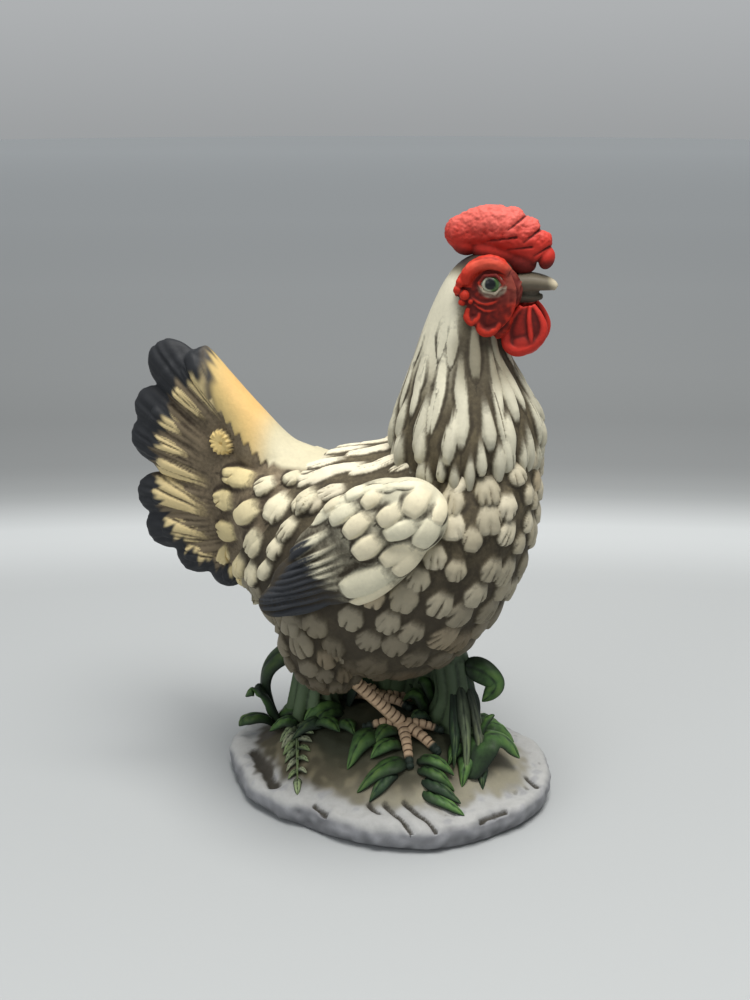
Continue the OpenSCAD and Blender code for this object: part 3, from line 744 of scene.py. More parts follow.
# ---- Tail ----
# The tail is a thick upright fan cast with the body: a smooth yellow ridge on top, seven drooping
# lobes with blue-black ends, ochre patches brushed over ribbed vanes, and coverts at its root.
YOLK = np.array([0.82, 0.62, 0.26])
OCHRE = np.array([0.76, 0.55, 0.22])
BUTTER = np.array([0.80, 0.72, 0.46])
BARK = np.array([0.125, 0.098, 0.062])
MEDALLION = np.array([-55.3, 121.8])
MEDALLION_RADIUS, PETALS = 4.7, 16
FAN_ROOT = (-54, 108)
# Each lobe's tip and root seen from the side, and its half width.
LOBES = [((-73.8, 145), (-47, 118), 9.0), ((-80, 129.5), (-52, 112), 8.6), ((-82, 119.5), (-55, 108), 8.6),
    ((-81.5, 99.5), (-52, 100), 8.2), ((-79, 88), (-50, 94), 8.2), ((-69, 79), (-46, 88), 7.5),
    ((-58, 74), (-42, 84), 6.6)]
bm = bmesh.new()
for tip, root, half in LOBES:
    rod(bm, [(root[0], 0, root[1], half * 1.15), (0.5 * (root[0] + tip[0]), 0, 0.5 * (root[1] + tip[1]),
                half * 1.12), (tip[0], 0, tip[1], half)], count=14, sides=24, flat=1.0, up=(0, 1, 0))
    lump(bm, (tip[0], 0, tip[1]), (half, 0.8 * half, half))
bmesh.ops.scale(bm, vec=(1, 0.46, 1), verts=bm.verts)
rod(bm, [(-28, 0, 107, 12.5), (-40, 0, 114, 10.5), (-50, 0, 128, 7.2), (-59, 0, 140, 5.6),
        (-66, 0, 150, 4.4)], count=20, sides=24)
for x, z, rx, rz, t in [(-31, 101, 17, 18, 21), (-37, 91, 15, 18, 19), (-30, 108, 20, 11.5, 15),
        (-45, 96, 14, 17, 13), (-50, 107, 14, 14, 8.5), (-60, 116, 13, 13, 5), (-60, 98, 14, 14, 5.6),
        (-44, 84, 12, 13, 12), (-34, 98, 19, 22, 22.5), (-41, 101, 15, 17, 16.5)]:
    lump(bm, (x, 0, z), (rx, t, rz))
tail = clay(bm, "hen_tail", GRAIN * 0.9, rounds=26)
tail_tree = tree_of(tail)

plumes = []
vane = dict(grooves=5, groove_depth=0.6, groove_start=0.0, crown=0.55, soft=0.6, root=0.75, belly=0.6)
patch = dict(grooves=3, groove_depth=0.45, groove_start=0.0, crown=0.3, soft=0.6, root=0.55, belly=0.72,
    blunt=(2, 0.6))
for tip, root, half in LOBES:
    t, r = np.array(tip, float), np.array(root, float)
    plumes.append(flat_feather(tail_tree, r, t + 0.34 * (t - r), half * 2.1, -6, 1.3, BARK * 1.5,
            rng.random(), **vane))
for root, tip, width in [((-51.5, 127), (-68.5, 149), 11.5), ((-58, 126), (-74, 140), 6.4),
        ((-66, 121.5), (-82, 131), 9.6), ((-64, 114.5), (-82, 121), 7.6), ((-57, 105), (-82, 112.5), 10.5),
        ((-57, 95), (-84, 103.5), 14), ((-58, 86), (-81, 90), 11.5), ((-56, 79), (-74, 80.5), 9)]:
    plumes.append(flat_feather(tail_tree, root, tip, width, -8, 2.1, OCHRE * 0.5 + BUTTER * 0.42
            * rng.uniform(0.9, 1), rng.random(), **patch))
coverts = []
for root, tip, width in [((-38, 111), (-56, 112.5), 8.6), ((-46, 104.5), (-60, 102), 9.0),
        ((-46, 95), (-60, 90), 9.4), ((-36, 108), (-47.5, 100), 8.6), ((-36, 100.5), (-42.5, 89), 8.8),
        ((-28, 112.5), (-34, 101.5), 9.6), ((-31, 92), (-36.5, 83.5), 6), ((-44, 88.5), (-47.5, 79), 6.2),
        ((-38.5, 90), (-41, 79.5), 6.4), ((-54, 86), (-59, 77.5), 7), ((-18, 115.5), (-25, 105.5), 8.0),
        ((-33, 115), (-40, 109.5), 7), ((-25.5, 117), (-30.5, 111.5), 6), ((-46, 79), (-52, 70), 6),
        ((-23, 107), (-29, 97.5), 6.4), ((-28, 100), (-32, 91.5), 6.4), ((-50, 79), (-58, 71), 6.5),
        ((-38, 82), (-40, 73), 5.6), ((-30, 84), (-33, 76), 6)]:
    tone = mix((0.70, 0.64, 0.46), (0.72, 0.60, 0.32), smooth(-38, -54, tip[0]))
    tree = body_tree if root[0] + tip[0] > -72 else tail_tree
    coverts.append(flat_feather(tree, root, tip, width, -20, 2.4, tone * rng.uniform(0.9, 1.03),
            rng.random(), grooves=rng.choice([2, 3, 4]), groove_depth=0.3, groove_start=0.4, crown=0.45,
            soft=0.45, root=0.7))
plumes += coverts
for j in range(PETALS):
    turn = 2 * math.pi * j / PETALS
    aim = np.array([math.cos(turn), math.sin(turn)])
    plumes.append(flat_feather(tail_tree, MEDALLION - aim * 0.2, MEDALLION + aim * MEDALLION_RADIUS, 2.7,
            -8, 2.6, YOLK * 0.95, j, grooves=0, crown=0.5, root=0.35, belly=0.15))


def two_sided(feathers):
    """The same feathers on the left-hand face as well."""
    twins = [copy.copy(f) for f in feathers]
    for i, twin in enumerate(twins):
        twin.middle, twin.out, twin.along = (v * [1, -1, 1] for v in (twin.middle, twin.out, twin.along))
        twin.across = np.cross(twin.out, twin.along)
        twin.rand = random.Random(i)
    return feathers + twins


paint, relief, _ = carve(body, two_sided(coverts), body_paint, bare=body_relief)
finish(body, plumage_mat, ["body_shell"], paint, relief)
co, no = points_of(tail)
x, y, z = co.T
below = (z - 118.5) - np.interp(-x, [20, 33, 40, 50, 60, 66], [3, 4, 6, 15, 26.5, 34])
saw = 1.3 * np.abs(((x * 0.32) % 1) - 0.5) * 4 * smooth(-34, -41, x)
ridge = smooth(-6.4, -5.4, below + saw) * smooth(-63.5, -60, x + 0.15 * (z - 150))
stripe = mix((0.58, 0.53, 0.37), YOLK * 0.72, smooth(-36, -47, x))
gold = smooth(-38, -46, x) * smooth(-62, -52, x) * smooth(0, 0.8, no[:, 2])
stripe = mix(stripe, (0.80, 0.46, 0.16), 0.6 * gold)
stripe = mix(stripe, INK, smooth(-58, -61, x + 0.25 * (z - 147) + 0.8 * np.sin(3 * y)))
turn = np.arctan2(z - FAN_ROOT[1], FAN_ROOT[0] - x)
frayed = 1.5 * np.sin(turn * 33) + np.sin(turn * 71 + 1) - 4.2 * smooth(0.7, 1.1, turn)
spread = np.hypot(x - FAN_ROOT[0], (z - FAN_ROOT[1]) * 0.85) + frayed
far = np.maximum(smooth(25.8, 28.4, spread), smooth(143, 146, z) * smooth(-60, -64, x)) * (1 - ridge)
ground = mix(BARK * 1.6, stripe, ridge)
paint, relief, lift = carve(tail, two_sided(plumes), ground, bare=0.42 + 0.52 * ridge)
paint = mix(mix(paint, ground, ridge), INK * 0.62, far)
relief = np.maximum(relief, 0.7 * far) * (1 - ridge) + (0.96 - 0.5 * smooth(0.9, 0.2, ridge)) * ridge
set_points(tail, co + no * (lift * (1 - 0.9 * ridge) + 0.7 * ridge)[:, None])
tail_mat = glazed_material("tail_glaze", (0.05, 0.036, 0.024), wiped=0.55, blotch=0.55, bump=0.4)
finish(tail, tail_mat, ["tail_fan"], paint, relief)


# ---- Thighs ----
# The thighs are cast with the body too. They carry the same scallops, which shrink towards the
# hock, and end in a cuff from which the legs come out.
for name, sign, back in [("thigh_right", -1, 0), ("thigh_left", 1, -13)]:
    low = np.array(box_point(name, 0.5, 0, 0.0)) / MM
    bm = bmesh.new()
    rod(bm, [(-20, sign * 18, 70, 11.5), (-20, sign * 18, 62, 12), (-17.5 + 0.8 * back, sign * 15.5, 53.5,
                11), (-13.5 + back, sign * 12, 46.5, 7.8), (-11.3 + back, sign * 11, low[2] + 1.5, 4.2)],
        count=18, sides=24)
    thigh = clay(bm, "hen_" + name, GRAIN * 0.9, rounds=8)
    thigh_tree = tree_of(thigh)
    tufts = []
    core = np.array([-21 + 0.4 * back, sign * 15.5, 57])
    for hit, normal, along, gap in scatter(thigh_tree, core, (-0.35, -0.1 * sign, 1), lambda p: 3.8 + 0.16
            * max(0, p[2] - 42), rng, reach=(30, 165), tries=2400):
        size = (gap + 1.5) * rng.uniform(0.9, 1.1)
        tufts.append(Feather(hit, normal, along + np.array([0.35, 0, -0.2]), size * 1.25, size, 2.0,
                body_colour(hit + 10, rng), grooves=rng.choice([2, 3, 4]), soft=0.26, seed=rng.random()))
    paint, relief, _ = carve(thigh, tufts, DUST * 0.7, bare=0.12, sink=0.2)
    finish(thigh, plumage_mat, [name], paint, relief)


# ---- Comb ----
# A thick fleshy cushion, pebbled on top, with a hanging bulb behind and overlapping rounded steps
# in front. It was pressed on separately and painted scarlet, with a painted highlight of pink along
# its top and painted shade along its lower part.
SCARLET = np.array([0.49, 0.027, 0.016])
CORAL_HIGHLIGHT = np.array([0.67, 0.145, 0.115])
MAROON = np.array([0.10, 0.009, 0.007])


def crease(co, no, lines, width, depth):
    """Dents the skin along lines seen from the side; gives the new places and how dented they are."""
    dent = np.zeros(len(co))
    p = co[:, [0, 2]]
    for a, b in lines:
        t, gap = from_line(p, a, b)
        dent = np.maximum(dent, np.exp(-(gap / width) ** 2) * (1 - 0.6 * t))
    return co - no * (dent * depth)[:, None], dent


def pebble(co, scale, seed=0.0):
    """Uneven lumps between 0 and 1 at each place."""
    return np.array([0.5 + 0.5 * noise.noise(Vector(p) * scale + Vector((seed, 0, 0))) for p in co])


bm = bmesh.new()
rod(bm, [(20.6, 0, 191.2, 4.6), (24.5, 0, 192.6, 5.6), (30, 0, 193.4, 6.4), (35.5, 0, 192.0, 6.9),
        (40.5, 0, 189.4, 6.2), (45.3, 0, 185.6, 4.3)], count=30, sides=24, up=(0, 1, 0))
bmesh.ops.scale(bm, vec=(1, 0.72, 1), verts=bm.verts)
for x, z, rx, rz, ry in [(21.8, 191.4, 5.6, 5.2, 4.1), (36.2, 193.8, 4.2, 5.6, 3.9),
        (41.0, 191.6, 4.2, 5.0, 3.7), (44.8, 188.6, 3.6, 4.4, 3.4), (47.0, 184.8, 2.4, 3.3, 2.9),
        (33, 185.8, 9.5, 4.0, 3.9), (39, 183.6, 5.2, 3.6, 3.6), (22.6, 188.2, 4.2, 3.4, 3.4)]:
    lump(bm, (x, 0, z), (rx, ry, rz), 14)
comb = clay(bm, "hen_comb", 0.3, rounds=5)
co, no = points_of(comb)
co, dent = crease(co, no, [((40.4, 197.0), (35.5, 192.6)), ((44.9, 193.2), (40.6, 189.6)),
        ((48.0, 188.4), (43.6, 185.8)), ((38.5, 191.2), (30, 189.6)), ((43, 188.4), (36, 187.4))], 0.42,
    0.6)
lumps = pebble(co, 0.55) - 0.5
fine = pebble(co, 1.3, 3) - 0.5
co = co + no * ((0.75 * lumps + 0.5 * fine) * smooth(187, 192, co[:, 2]))[:, None]
set_points(comb, co)
sunk = hollows(comb, 14)
# Painted highlight: pink along the top of the comb.
top = smooth(189, 198, co[:, 2] + 3 * lumps)
# Painted shade: the lower part of the comb keeps more of the maroon wash.
relief = np.clip(0.72 - 1.5 * sunk - 0.55 * dent, 0, 1) * (0.12 + 0.88 * smooth(184.2, 188.6,
        co[:, 2] + 0.10 * (co[:, 0] - 32)))
flesh_mat = glazed_material("scarlet_glaze", MAROON, wiped=0.6, blotch=0.25, bump=0.12)
finish(comb, flesh_mat, ["comb"], mix(SCARLET, CORAL_HIGHLIGHT, 0.75 * top), relief)


# ---- Faces ----
# A bare red disc on each cheek: a fat padded brow over the eye, beads down its rear edge, and two
# frilled lobes below. The sunk parts are maroon, the raised ones orange-red; the lower face is
# painted darker as painted shade, and the top of the brow lighter as a painted highlight.
BRICK = np.array([0.50, 0.026, 0.010])
bm = bmesh.new()
lump(bm, (30.4, -8.0, 174.2), (9.4, 2.3, 11.0))
lump(bm, (27.2, -7.8, 171.6), (5.2, 2.3, 5.4))
lump(bm, (35.2, -4.3, 175.6), (5.6, 5.0, 7.0))
lump(bm, (33.5, -4.5, 167.5), (5.0, 3.4, 6.5))
lump(bm, (27.4, -8.6, 170.2), (3.0, 1.6, 3.0))
rod(bm, [(24.8, -9.8, 178.2, 1.7), (25.6, -10, 181.0, 2.1), (28.2, -9.6, 183.4, 2.2),
        (31.5, -9.3, 184.4, 2.3), (34.6, -8.9, 183.6, 2.2), (37.0, -8.2, 181.4, 1.5)], count=24,
    up=(0, 1, 0))
for x, z, r in [(23.4, 178.4, 1.4), (22.6, 176.2, 1.35), (24.8, 174.8, 1.6), (24.0, 172.6, 1.1),
        (26.6, 173.0, 0.8)]:
    lump(bm, (x, -10.3, z), (r, r, r))
rod(bm, [(25.9, -9.6, 170.8, 0.9), (25.7, -9.9, 168.2, 1.25), (27.2, -9.9, 166.8, 1.3),
        (28.8, -9.8, 168.0, 1.0), (29.4, -9.6, 169.8, 0.7)], count=20, up=(0, 1, 0))
rod(bm, [(29.3, -9.4, 169.0, 0.8), (29.0, -9.6, 166.2, 1.15), (30.4, -9.6, 164.1, 1.4),
        (32.6, -9.2, 164.0, 1.35), (34.6, -8.7, 165.8, 1.05), (35.1, -8.4, 168.9, 0.7)], count=26,
    up=(0, 1, 0))
for line in [((26.2, -10.2, 174.6, 0.3), (29.6, -10.4, 172.6, 0.38), (33.6, -10.1, 173.0, 0.38),
        (37.4, -8.6, 176.4, 0.25)), ((27.6, -10.2, 172.2, 0.3), (31.2, -10.2, 170.4, 0.36),
        (35.2, -9.4, 171.6, 0.36), (39.0, -7.2, 175.6, 0.25)),
        ((40.6, -5.6, 178.8, 0.5), (39.2, -6.9, 175.2, 0.7), (37.2, -7.9, 171.6, 0.7),
        (36.2, -8.0, 168.4, 0.5))]:
    rod(bm, line, count=18, sides=8, up=(0, 1, 0))
for a, b in [((28.9, 178.3), (30.6, 180.7)), ((30.6, 180.7), (34.0, 181.0)), ((34.0, 181.0), (36.5, 178.4))]:
    rod(bm, [(a[0], -11.0, a[1], 0.55), (b[0], -10.9, b[1], 0.6)], count=6, sides=8, up=(0, 1, 0))
for a, b in [((28.9, 178.3), (30.4, 176.2)), ((30.4, 176.2), (33.8, 175.6)), ((33.8, 175.6), (36.5, 178.4))]:
    rod(bm, [(a[0], -10.9, a[1], 0.45), (b[0], -10.7, b[1], 0.5)], count=6, sides=8, up=(0, 1, 0))
cheek = clay(bm, "hen_face_right", 0.25)
co, no = points_of(cheek)
co = co + no * (0.22 * (pebble(co, 0.8) - 0.5) + 0.5 * (pebble(co, 0.45, 9) - 0.5) * smooth(35, 38,
        co[:, 0]))[:, None]
set_points(cheek, co)
sunk = hollows(cheek, 22)
raised = np.clip(0.20 - 2.6 * sunk, 0, 1)
brow = (smooth(2.9, 1.6, np.abs(np.hypot((co[:, 0] - 31.2) / 1.12, co[:, 2] - 177.2) - 6.2))
        * (co[:, 2] > 177) * (co[:, 1] < -7.5))
raised = np.maximum(raised, 0.85 * brow)
# Painted shade: the lower face is darker.
low_shade = smooth(174.5, 170, co[:, 2]) * (1 - smooth(0.3, 0.6, raised))
lore = 0.8 * smooth(35.0, 37.4, co[:, 0] - 0.25 * (co[:, 2] - 180)) * smooth(171, 175, co[:, 2])
lidded = smooth(4.7, 3.8, np.hypot((co[:, 0] - 32.7) / 1.1, (co[:, 2] - 178.4))) * (co[:, 1] < -9.5)
rim_light = lidded * smooth(178.5, 176.8, co[:, 2])
dark_lid = lidded * smooth(178, 179.6, co[:, 2])
paint = mix(BRICK * (1 - 0.35 * low_shade[:, None]), (0.12, 0.055, 0.04), 0.85 * lore)
# Painted highlight: the top of the brow is lighter and rosier.
paint = mix(paint, (0.74, 0.12, 0.07), 0.6 * smooth(181, 184.5, co[:, 2]) * brow)
paint = mix(paint, (0.42, 0.36, 0.27), rim_light)
relief = np.clip(raised + 0.3 * rim_light, 0, 1) * (1 - 0.9 * dark_lid) * (1 - 0.25 * lore)
finish(cheek, flesh_mat, ["face_right"], paint, relief)
finish(mirrored(cheek, "hen_face_left"), flesh_mat, ["face_left"])


# ---- Eyes ----
# A small ball set behind the lids: greenish white, with a clearer green in front of a black
# pupil, and a slight gloss from the enamel.
EYE_RADII = (3.7, 3.3, 2.9)
eye_mat, tree, shader = new_material("eye_enamel")
coords = node_of(tree, "ShaderNodeTexCoord")
for side, sign in (("right", -1), ("left", 1)):
    bm = bmesh.new()
    bmesh.ops.create_uvsphere(bm, u_segments=48, v_segments=32, radius=1,
        matrix=Matrix.Translation(Vector((32.5, sign * 8.6, 178.4)) * MM) @ Matrix.Diagonal(
            (*(Vector(EYE_RADII) * MM), 1)))
    ball = put(bm, "hen_eye_" + side, eye_mat)
    co, no = points_of(ball)
    gap = np.hypot(co[:, 0] - 32.4, co[:, 2] - 178.5)
    iris = np.hypot(co[:, 0] - 32.7, co[:, 2] - 178.3)
    tint = mix((0.50, 0.52, 0.40), (0.07, 0.15, 0.045), smooth(2.6, 2.2, iris) * smooth(32.2, 33.2, co[:, 0]))
    store(ball, "paint", mix(tint, (0.006, 0.008, 0.01), smooth(1.85, 1.55, gap)))
    finish(ball, eye_mat, ["eye_" + side])
paint_field = node_of(tree, "ShaderNodeAttribute", attribute_name="paint")
tree.links.new(paint_field.outputs["Color"], shader.inputs["Base Color"])
shader.inputs["Roughness"].default_value = 0.3
shader.inputs["Specular IOR Level"].default_value = 0.3
shader.inputs["Coat Weight"].default_value = 0.1


# ---- Beak ----
# Short and stout: the upper half hooks down over the lower one. Horn grey-brown with a cream tip,
# and dark inside the mouth line; the lower half is painted dark as painted shade under the upper one.
bm = bmesh.new()
rod(bm, [(39.4, 0, 177.4, 4.6), (43.2, 0, 177.8, 4.0), (46.6, 0, 177.5, 3.3), (49.0, 0, 177.0, 2.4),
        (50.3, 0, 176.3, 1.3)], count=20, sides=24, flat=0.70)
rod(bm, [(39.6, 0, 173.4, 3.2), (43.0, 0, 173.2, 2.5), (46.2, 0, 173.6, 1.4)], count=12, sides=20, flat=0.6)
lump(bm, (41.5, 0, 174.8), (4.0, 2.4, 1.6))
beak = clay(bm, "hen_beak", 0.22)
co, no = points_of(beak)
co, dent = crease(co, no, [((49.0, 175.0), (39.5, 174.9))], 0.5, 0.3)
set_points(beak, co)
horn = mix((0.135, 0.115, 0.08), (0.50, 0.44, 0.31), smooth(48.2, 50.8, co[:, 0] + 0.3 * (co[:, 2] - 176)))
# Painted shade: the lower half of the beak, under the upper one, is dark.
horn = mix(horn, (0.07, 0.065, 0.045), 0.75 * smooth(175.1, 174.4, co[:, 2]))
horn_mat = glazed_material("beak_horn", (0.05, 0.04, 0.028), wiped=0.6, blotch=0.5, bump=0.15, sheen_coat=0.1)
finish(beak, horn_mat, ["beak"], horn, np.clip(0.85 - 1.2 * hollows(beak, 10), 0, 1)
    * (1 - 0.6 * dent))


# ---- Wattles ----
# A pair of pressed drops under the beak: a rolled rim, a rib down the middle and sunk fields
# between them that kept the maroon wash.
bm = bmesh.new()
lump(bm, (42.4, -3.4, 163.8), (5.9, 1.4, 7.4), 8)
lump(bm, (41.6, -3.5, 159.6), (5.2, 2.2, 3.2), -18)
rod(bm, [(40.6, -3.4, 170.8, 0.9), (38.0, -3.7, 167.4, 1.2), (36.6, -3.9, 163.2, 1.5),
        (37.2, -4.0, 159.4, 1.9), (39.8, -4.0, 157.9, 2.1), (43.4, -3.9, 159.0, 1.9),
        (46.6, -3.8, 161.6, 1.6), (47.4, -3.7, 165.2, 1.3), (45.9, -3.6, 168.9, 1.0),
        (44.0, -3.4, 171.4, 0.8)], count=48, sides=12, up=(0, 1, 0))
rod(bm, [(43.2, -4.0, 171.2, 0.6), (43.3, -4.6, 167.4, 0.85), (43.9, -4.8, 163.2, 0.9),
        (44.3, -4.8, 160.4, 0.8)], count=18, sides=10, up=(0, 1, 0))
wattle = clay(bm, "hen_wattle_right", 0.24, rounds=4)
co, no = points_of(wattle)
sunk = hollows(wattle, 26)
relief = np.clip(0.24 - 1.9 * sunk + 0.4 * smooth(161, 158.5, co[:, 2]), 0, 1)
paint = SCARLET * (1 + 0.15 * pebble(co, 0.3)[:, None])
finish(wattle, flesh_mat, ["wattle_right"], paint, relief)
finish(mirrored(wattle, "hen_wattle_left"), flesh_mat, ["wattle_left"])


# ---- Rock base ----
# A low slab of modelled rock, hollow underneath. Its edge is knapped and painted stone grey with a
# chalky rim; the earth heaped inside is olive brown, and a few slits were cut with a tool. The wall
# is painted darker towards its foot as painted shade, and the earth darker and greener towards the
# middle, under the hen and its leaves, where the darkening is painted shade.
STONE = np.array([0.27, 0.273, 0.288])
RIM_CHALK = np.array([0.43, 0.43, 0.42])
EARTH = np.array([0.115, 0.10, 0.062])
base_lo, base_hi = (np.array(p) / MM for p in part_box("rock_base"))
base_mid = 0.5 * (base_lo + base_hi)
base_half = 0.5 * (base_hi - base_lo)


def slab_edge(angle):
    """How far the slab's outline stands from its middle in this direction, as a share: it is
    knapped in flats rather than rounded."""
    corners = np.radians([-180, -158, -131, -112, -86, -64, -37, -12, 14, 44, 71, 98, 127, 153, 180])
    reach = [1.015, 1.0, 0.995, 0.965, 1.01, 1.03, 0.985, 0.995, 1.0, 0.975, 1.0, 0.98, 0.99, 0.98, 1.015]
    return np.interp(angle, corners, reach)


# Each slit is cut between two places in plan, with its half width.
SLITS = [((7, -33), (18, -41), 0.95), ((13, -31), (25, -38), 0.9), ((-16, -36), (-11, -39), 0.9),
    ((38, -29), (45, -22), 0.9), ((-46, -12), (-33, -29), 2.4), ((49, -3), (53, -6), 1.0),
    ((2, -34), (6, -37), 0.9)]
SLAB_PROFILE = [(1.0, 4.4), (0.996, 7.6), (0.968, 9.6), (0.88, 10.4), (0.78, 12.0), (0.64, 16.6),
    (0.46, 21.2), (0.25, 23.9), (0.1, 24.7), (0.0, 24.8)]


def share(x, y):
    """0 in the middle of the slab and 1 at its outline."""
    u, v = (x - base_mid[0]) / base_half[0], (y - base_mid[1]) / base_half[1]
    return np.hypot(u, v) / slab_edge(np.arctan2(v, u))


def soil(x, y):
    """Height of the earth on the slab, in millimetres."""
    return np.interp(share(x, y), *zip(*SLAB_PROFILE[::-1]))


def above(x, y, up):
    """A place so far above the earth."""
    return x, y, soil(x, y) + up


def over_earth(*places):
    return [above(*place) for place in places]


bm = bmesh.new()
previous = None
for reach, z in [(0.45, 17.5), (0.66, 10), (0.80, 3.4), (0.85, 0.2), (0.90, 0.0), (0.955, 0.0),
        (0.985, 2.0)] + SLAB_PROFILE[:-1]:
    made = bmesh.ops.create_circle(bm, segments=96, radius=1)
    for v in made["verts"]:
        a = math.atan2(v.co.y, v.co.x)
        r = reach * slab_edge(a)
        v.co = Vector((base_mid[0] + r * base_half[0] * math.cos(a), base_mid[1] + r * base_half[1]
                * math.sin(a), z)) * MM
    edges = list({e for v in made["verts"] for e in v.link_edges})
    if previous:
        bmesh.ops.bridge_loops(bm, edges=previous + edges)
    else:
        bmesh.ops.contextual_create(bm, geom=edges)
    previous = edges
bmesh.ops.contextual_create(bm, geom=previous)
rock = clay(bm, "rock_slab", 0.7)
co, no = points_of(rock)
s = share(co[:, 0], co[:, 1])
wall = smooth(0.80, 0.93, s) * smooth(0.8, 2.2, co[:, 2])
broad = pebble(co, 0.075) - 0.5
rough = pebble(co, 0.3, 5) - 0.5
inside = (no[:, 2] < 0.2) & (s < 0.93)
shape = np.where(inside, 0, 3.6 * broad * wall + 1.2 * rough * wall + 0.5 * rough * smooth(0.9, 0.6, s)
    + 1.1 * broad * smooth(0.95, 0.6, s))
co = co + no * shape[:, None]
dent = np.zeros(len(co))
for a, b, width in SLITS:
    _, gap = from_line(co[:, :2], a, b)
    dent = np.maximum(dent, np.exp(-(gap / width) ** 2) * (no[:, 2] > 0.3) * (co[:, 2] > 6))
co[:, 2] -= 1.8 * dent
co[:, 2] = np.maximum(co[:, 2], 0)
set_points(rock, co)
sunk = hollows(rock, 16)
# Painted shade: the stone wall is darker towards its foot.
stone = STONE * (0.62 + 0.38 * smooth(0, 8, co[:, 2] + 5 * rough))[:, None] * (1 + 0.7 * broad + 0.5
    * rough)[:, None]
chalk = smooth(6.5, 9.5, co[:, 2] + 2.5 * broad) * smooth(0.72, 0.84, s + 0.14 * rough)
chalk = chalk * (1 - 0.6 * smooth(0.12, 0.3, rough - 0.5 * broad))
dirt = smooth(0.88, 0.76, s + 0.16 * broad + 0.10 * rough) * (co[:, 2] > 7)
# Painted shade: the earth is darker and greener towards the middle, under the hen and its leaves.
centre_shade = smooth(0.72, 0.45, s + 0.2 * broad) * 0.8
earth = mix(EARTH * (0.75 + 0.75 * smooth(-0.1, 0.3, rough + broad))[:, None], (0.035, 0.042, 0.024), centre_shade)
dusty = smooth(0.60, 0.80, s + 0.2 * broad) * smooth(-10, 30, co[:, 0] - 0.4 * co[:, 1]) * dirt * 0.75
paint = mix(mix(mix(stone, RIM_CHALK, chalk), earth, dirt), (0.36, 0.335, 0.25), dusty)
u, v = co[:, 0] + 39.5, co[:, 1] + 20.5
slant = np.hypot(u * 0.8 + v * 0.6, (v * 0.8 - u * 0.6) * 0.35)
corner = np.hypot(co[:, 0] + 44, co[:, 1] + 5)
smear = np.maximum(smooth(3.6, 2.0, slant + 6 * rough), smooth(3.4, 2.0, corner + 6 * rough))
paint = mix(paint, (0.085, 0.075, 0.06), smear * (co[:, 2] > 6))
relief = np.clip(0.72 - 1.1 * sunk, 0, 1) * (1 - 0.85 * dent) * np.where(inside, 0.5, 1)
rock_mat = glazed_material("rock_glaze", (0.05, 0.045, 0.036), wiped=0.55, blotch=0.35, bump=0.3)
finish(rock, rock_mat, ["rock_base"], paint, relief)


# ---- Legs and feet ----
# Thin shanks and toes with a band of scutes across each; they are fleshy tan with the brown wash
# left between the scutes and painted shade on their undersides, and the toe ends run into dark
# green, as though sunk in the leaves.
SCUTE_MM = 2.25
FLESH = np.array([0.62, 0.44, 0.28])


def nearest_on(co, path):
    """Arc length along a path, and distance from it, for every place."""
    best, where, start = np.full(len(co), 1e9), np.zeros(len(co)), 0.0
    for a, b in zip(path, path[1:]):
        length = math.dist(a, b)
        t, gap = from_line(co, a, b)
        closer = gap < best
        best[closer], where[closer] = gap[closer], (start + t * length)[closer]
        start += length
    return where, best


def scuted(name, nodes, limbs, claws):
    bm = bmesh.new()
    for limb in limbs:
        rod(bm, limb, count=24, sides=16)
    skin = clay(bm, name, 0.28)
    co, no = points_of(skin)
    which, along = np.full(len(co), 1e9), np.zeros(len(co))
    for limb in limbs:
        where, gap = nearest_on(co, [row[:3] for row in limb])
        gap = gap - 0.4 * limb[0][3]
        along = np.where(gap < which, where, along)
        which = np.minimum(which, gap)
    step = (along / SCUTE_MM) % 1
    ring = np.exp(-((step - 0.5) / 0.16) ** 2) * smooth(-0.5, 0.1, no[:, 2])
    set_points(skin, co + no * (0.16 - 0.42 * ring)[:, None])
    paint = FLESH * (0.85 + 0.3 * pebble(co, 0.4))[:, None]
    end = np.zeros(len(co))
    for spot, radius in claws:
        end = np.maximum(end, smooth(radius, radius - 1.2, np.linalg.norm(co - np.array(spot), axis=1)))
    # Painted shade: faces turned downwards keep more wash and come out darker.
    relief = (0.92 - 0.9 * ring) * (0.35 + 0.65 * smooth(-0.6, 0.1, no[:, 2])) + 0.5 * end
    finish(skin, leg_mat, nodes, mix(paint, (0.022, 0.035, 0.026), end), np.clip(relief, 0, 1))


leg_mat = glazed_material("scute_glaze", (0.075, 0.04, 0.02), wiped=0.6, blotch=0.3, bump=0.15,
    sheen_coat=0.05)
for side, sign, back in (("right", -1, 0.0), ("left", 1, -13.0)):
    hock = np.array([-10.5 + back, sign * 10.5, 43.5])
    sole = np.array([6.3 + back, -6.5 if sign < 0 else 9.0, 26.4])
    scuted("hen_shank_" + side, ["shank_" + side],
        [[(*hock, 2.3), (*(0.5 * (hock + sole)), 2.05), (*(sole + [-0.4, 0, 0.4]), 2.3)]], [])
    toes = []
    ends = []
    for dx, dy, r in [(14.5, -7.0, 1.75), (6.5, -15.5, 1.65), (13.6, 3.5, 1.5), (-13.0, -3.0, 1.5)]:
        dy = dy if sign < 0 else -dy
        tip = sole + np.array([dx, dy, 0])
        tip[2] = soil(tip[0], tip[1]) + 1.3
        mid = 0.5 * (sole + tip) + np.array([0, 0, 1.2])
        toes.append([(*sole, 2.3), (*mid, r), (*tip, 0.75 * r)])
        ends.append((tip, 4.6))
    scuted("hen_foot_" + side, ["foot_" + side], toes, ends)


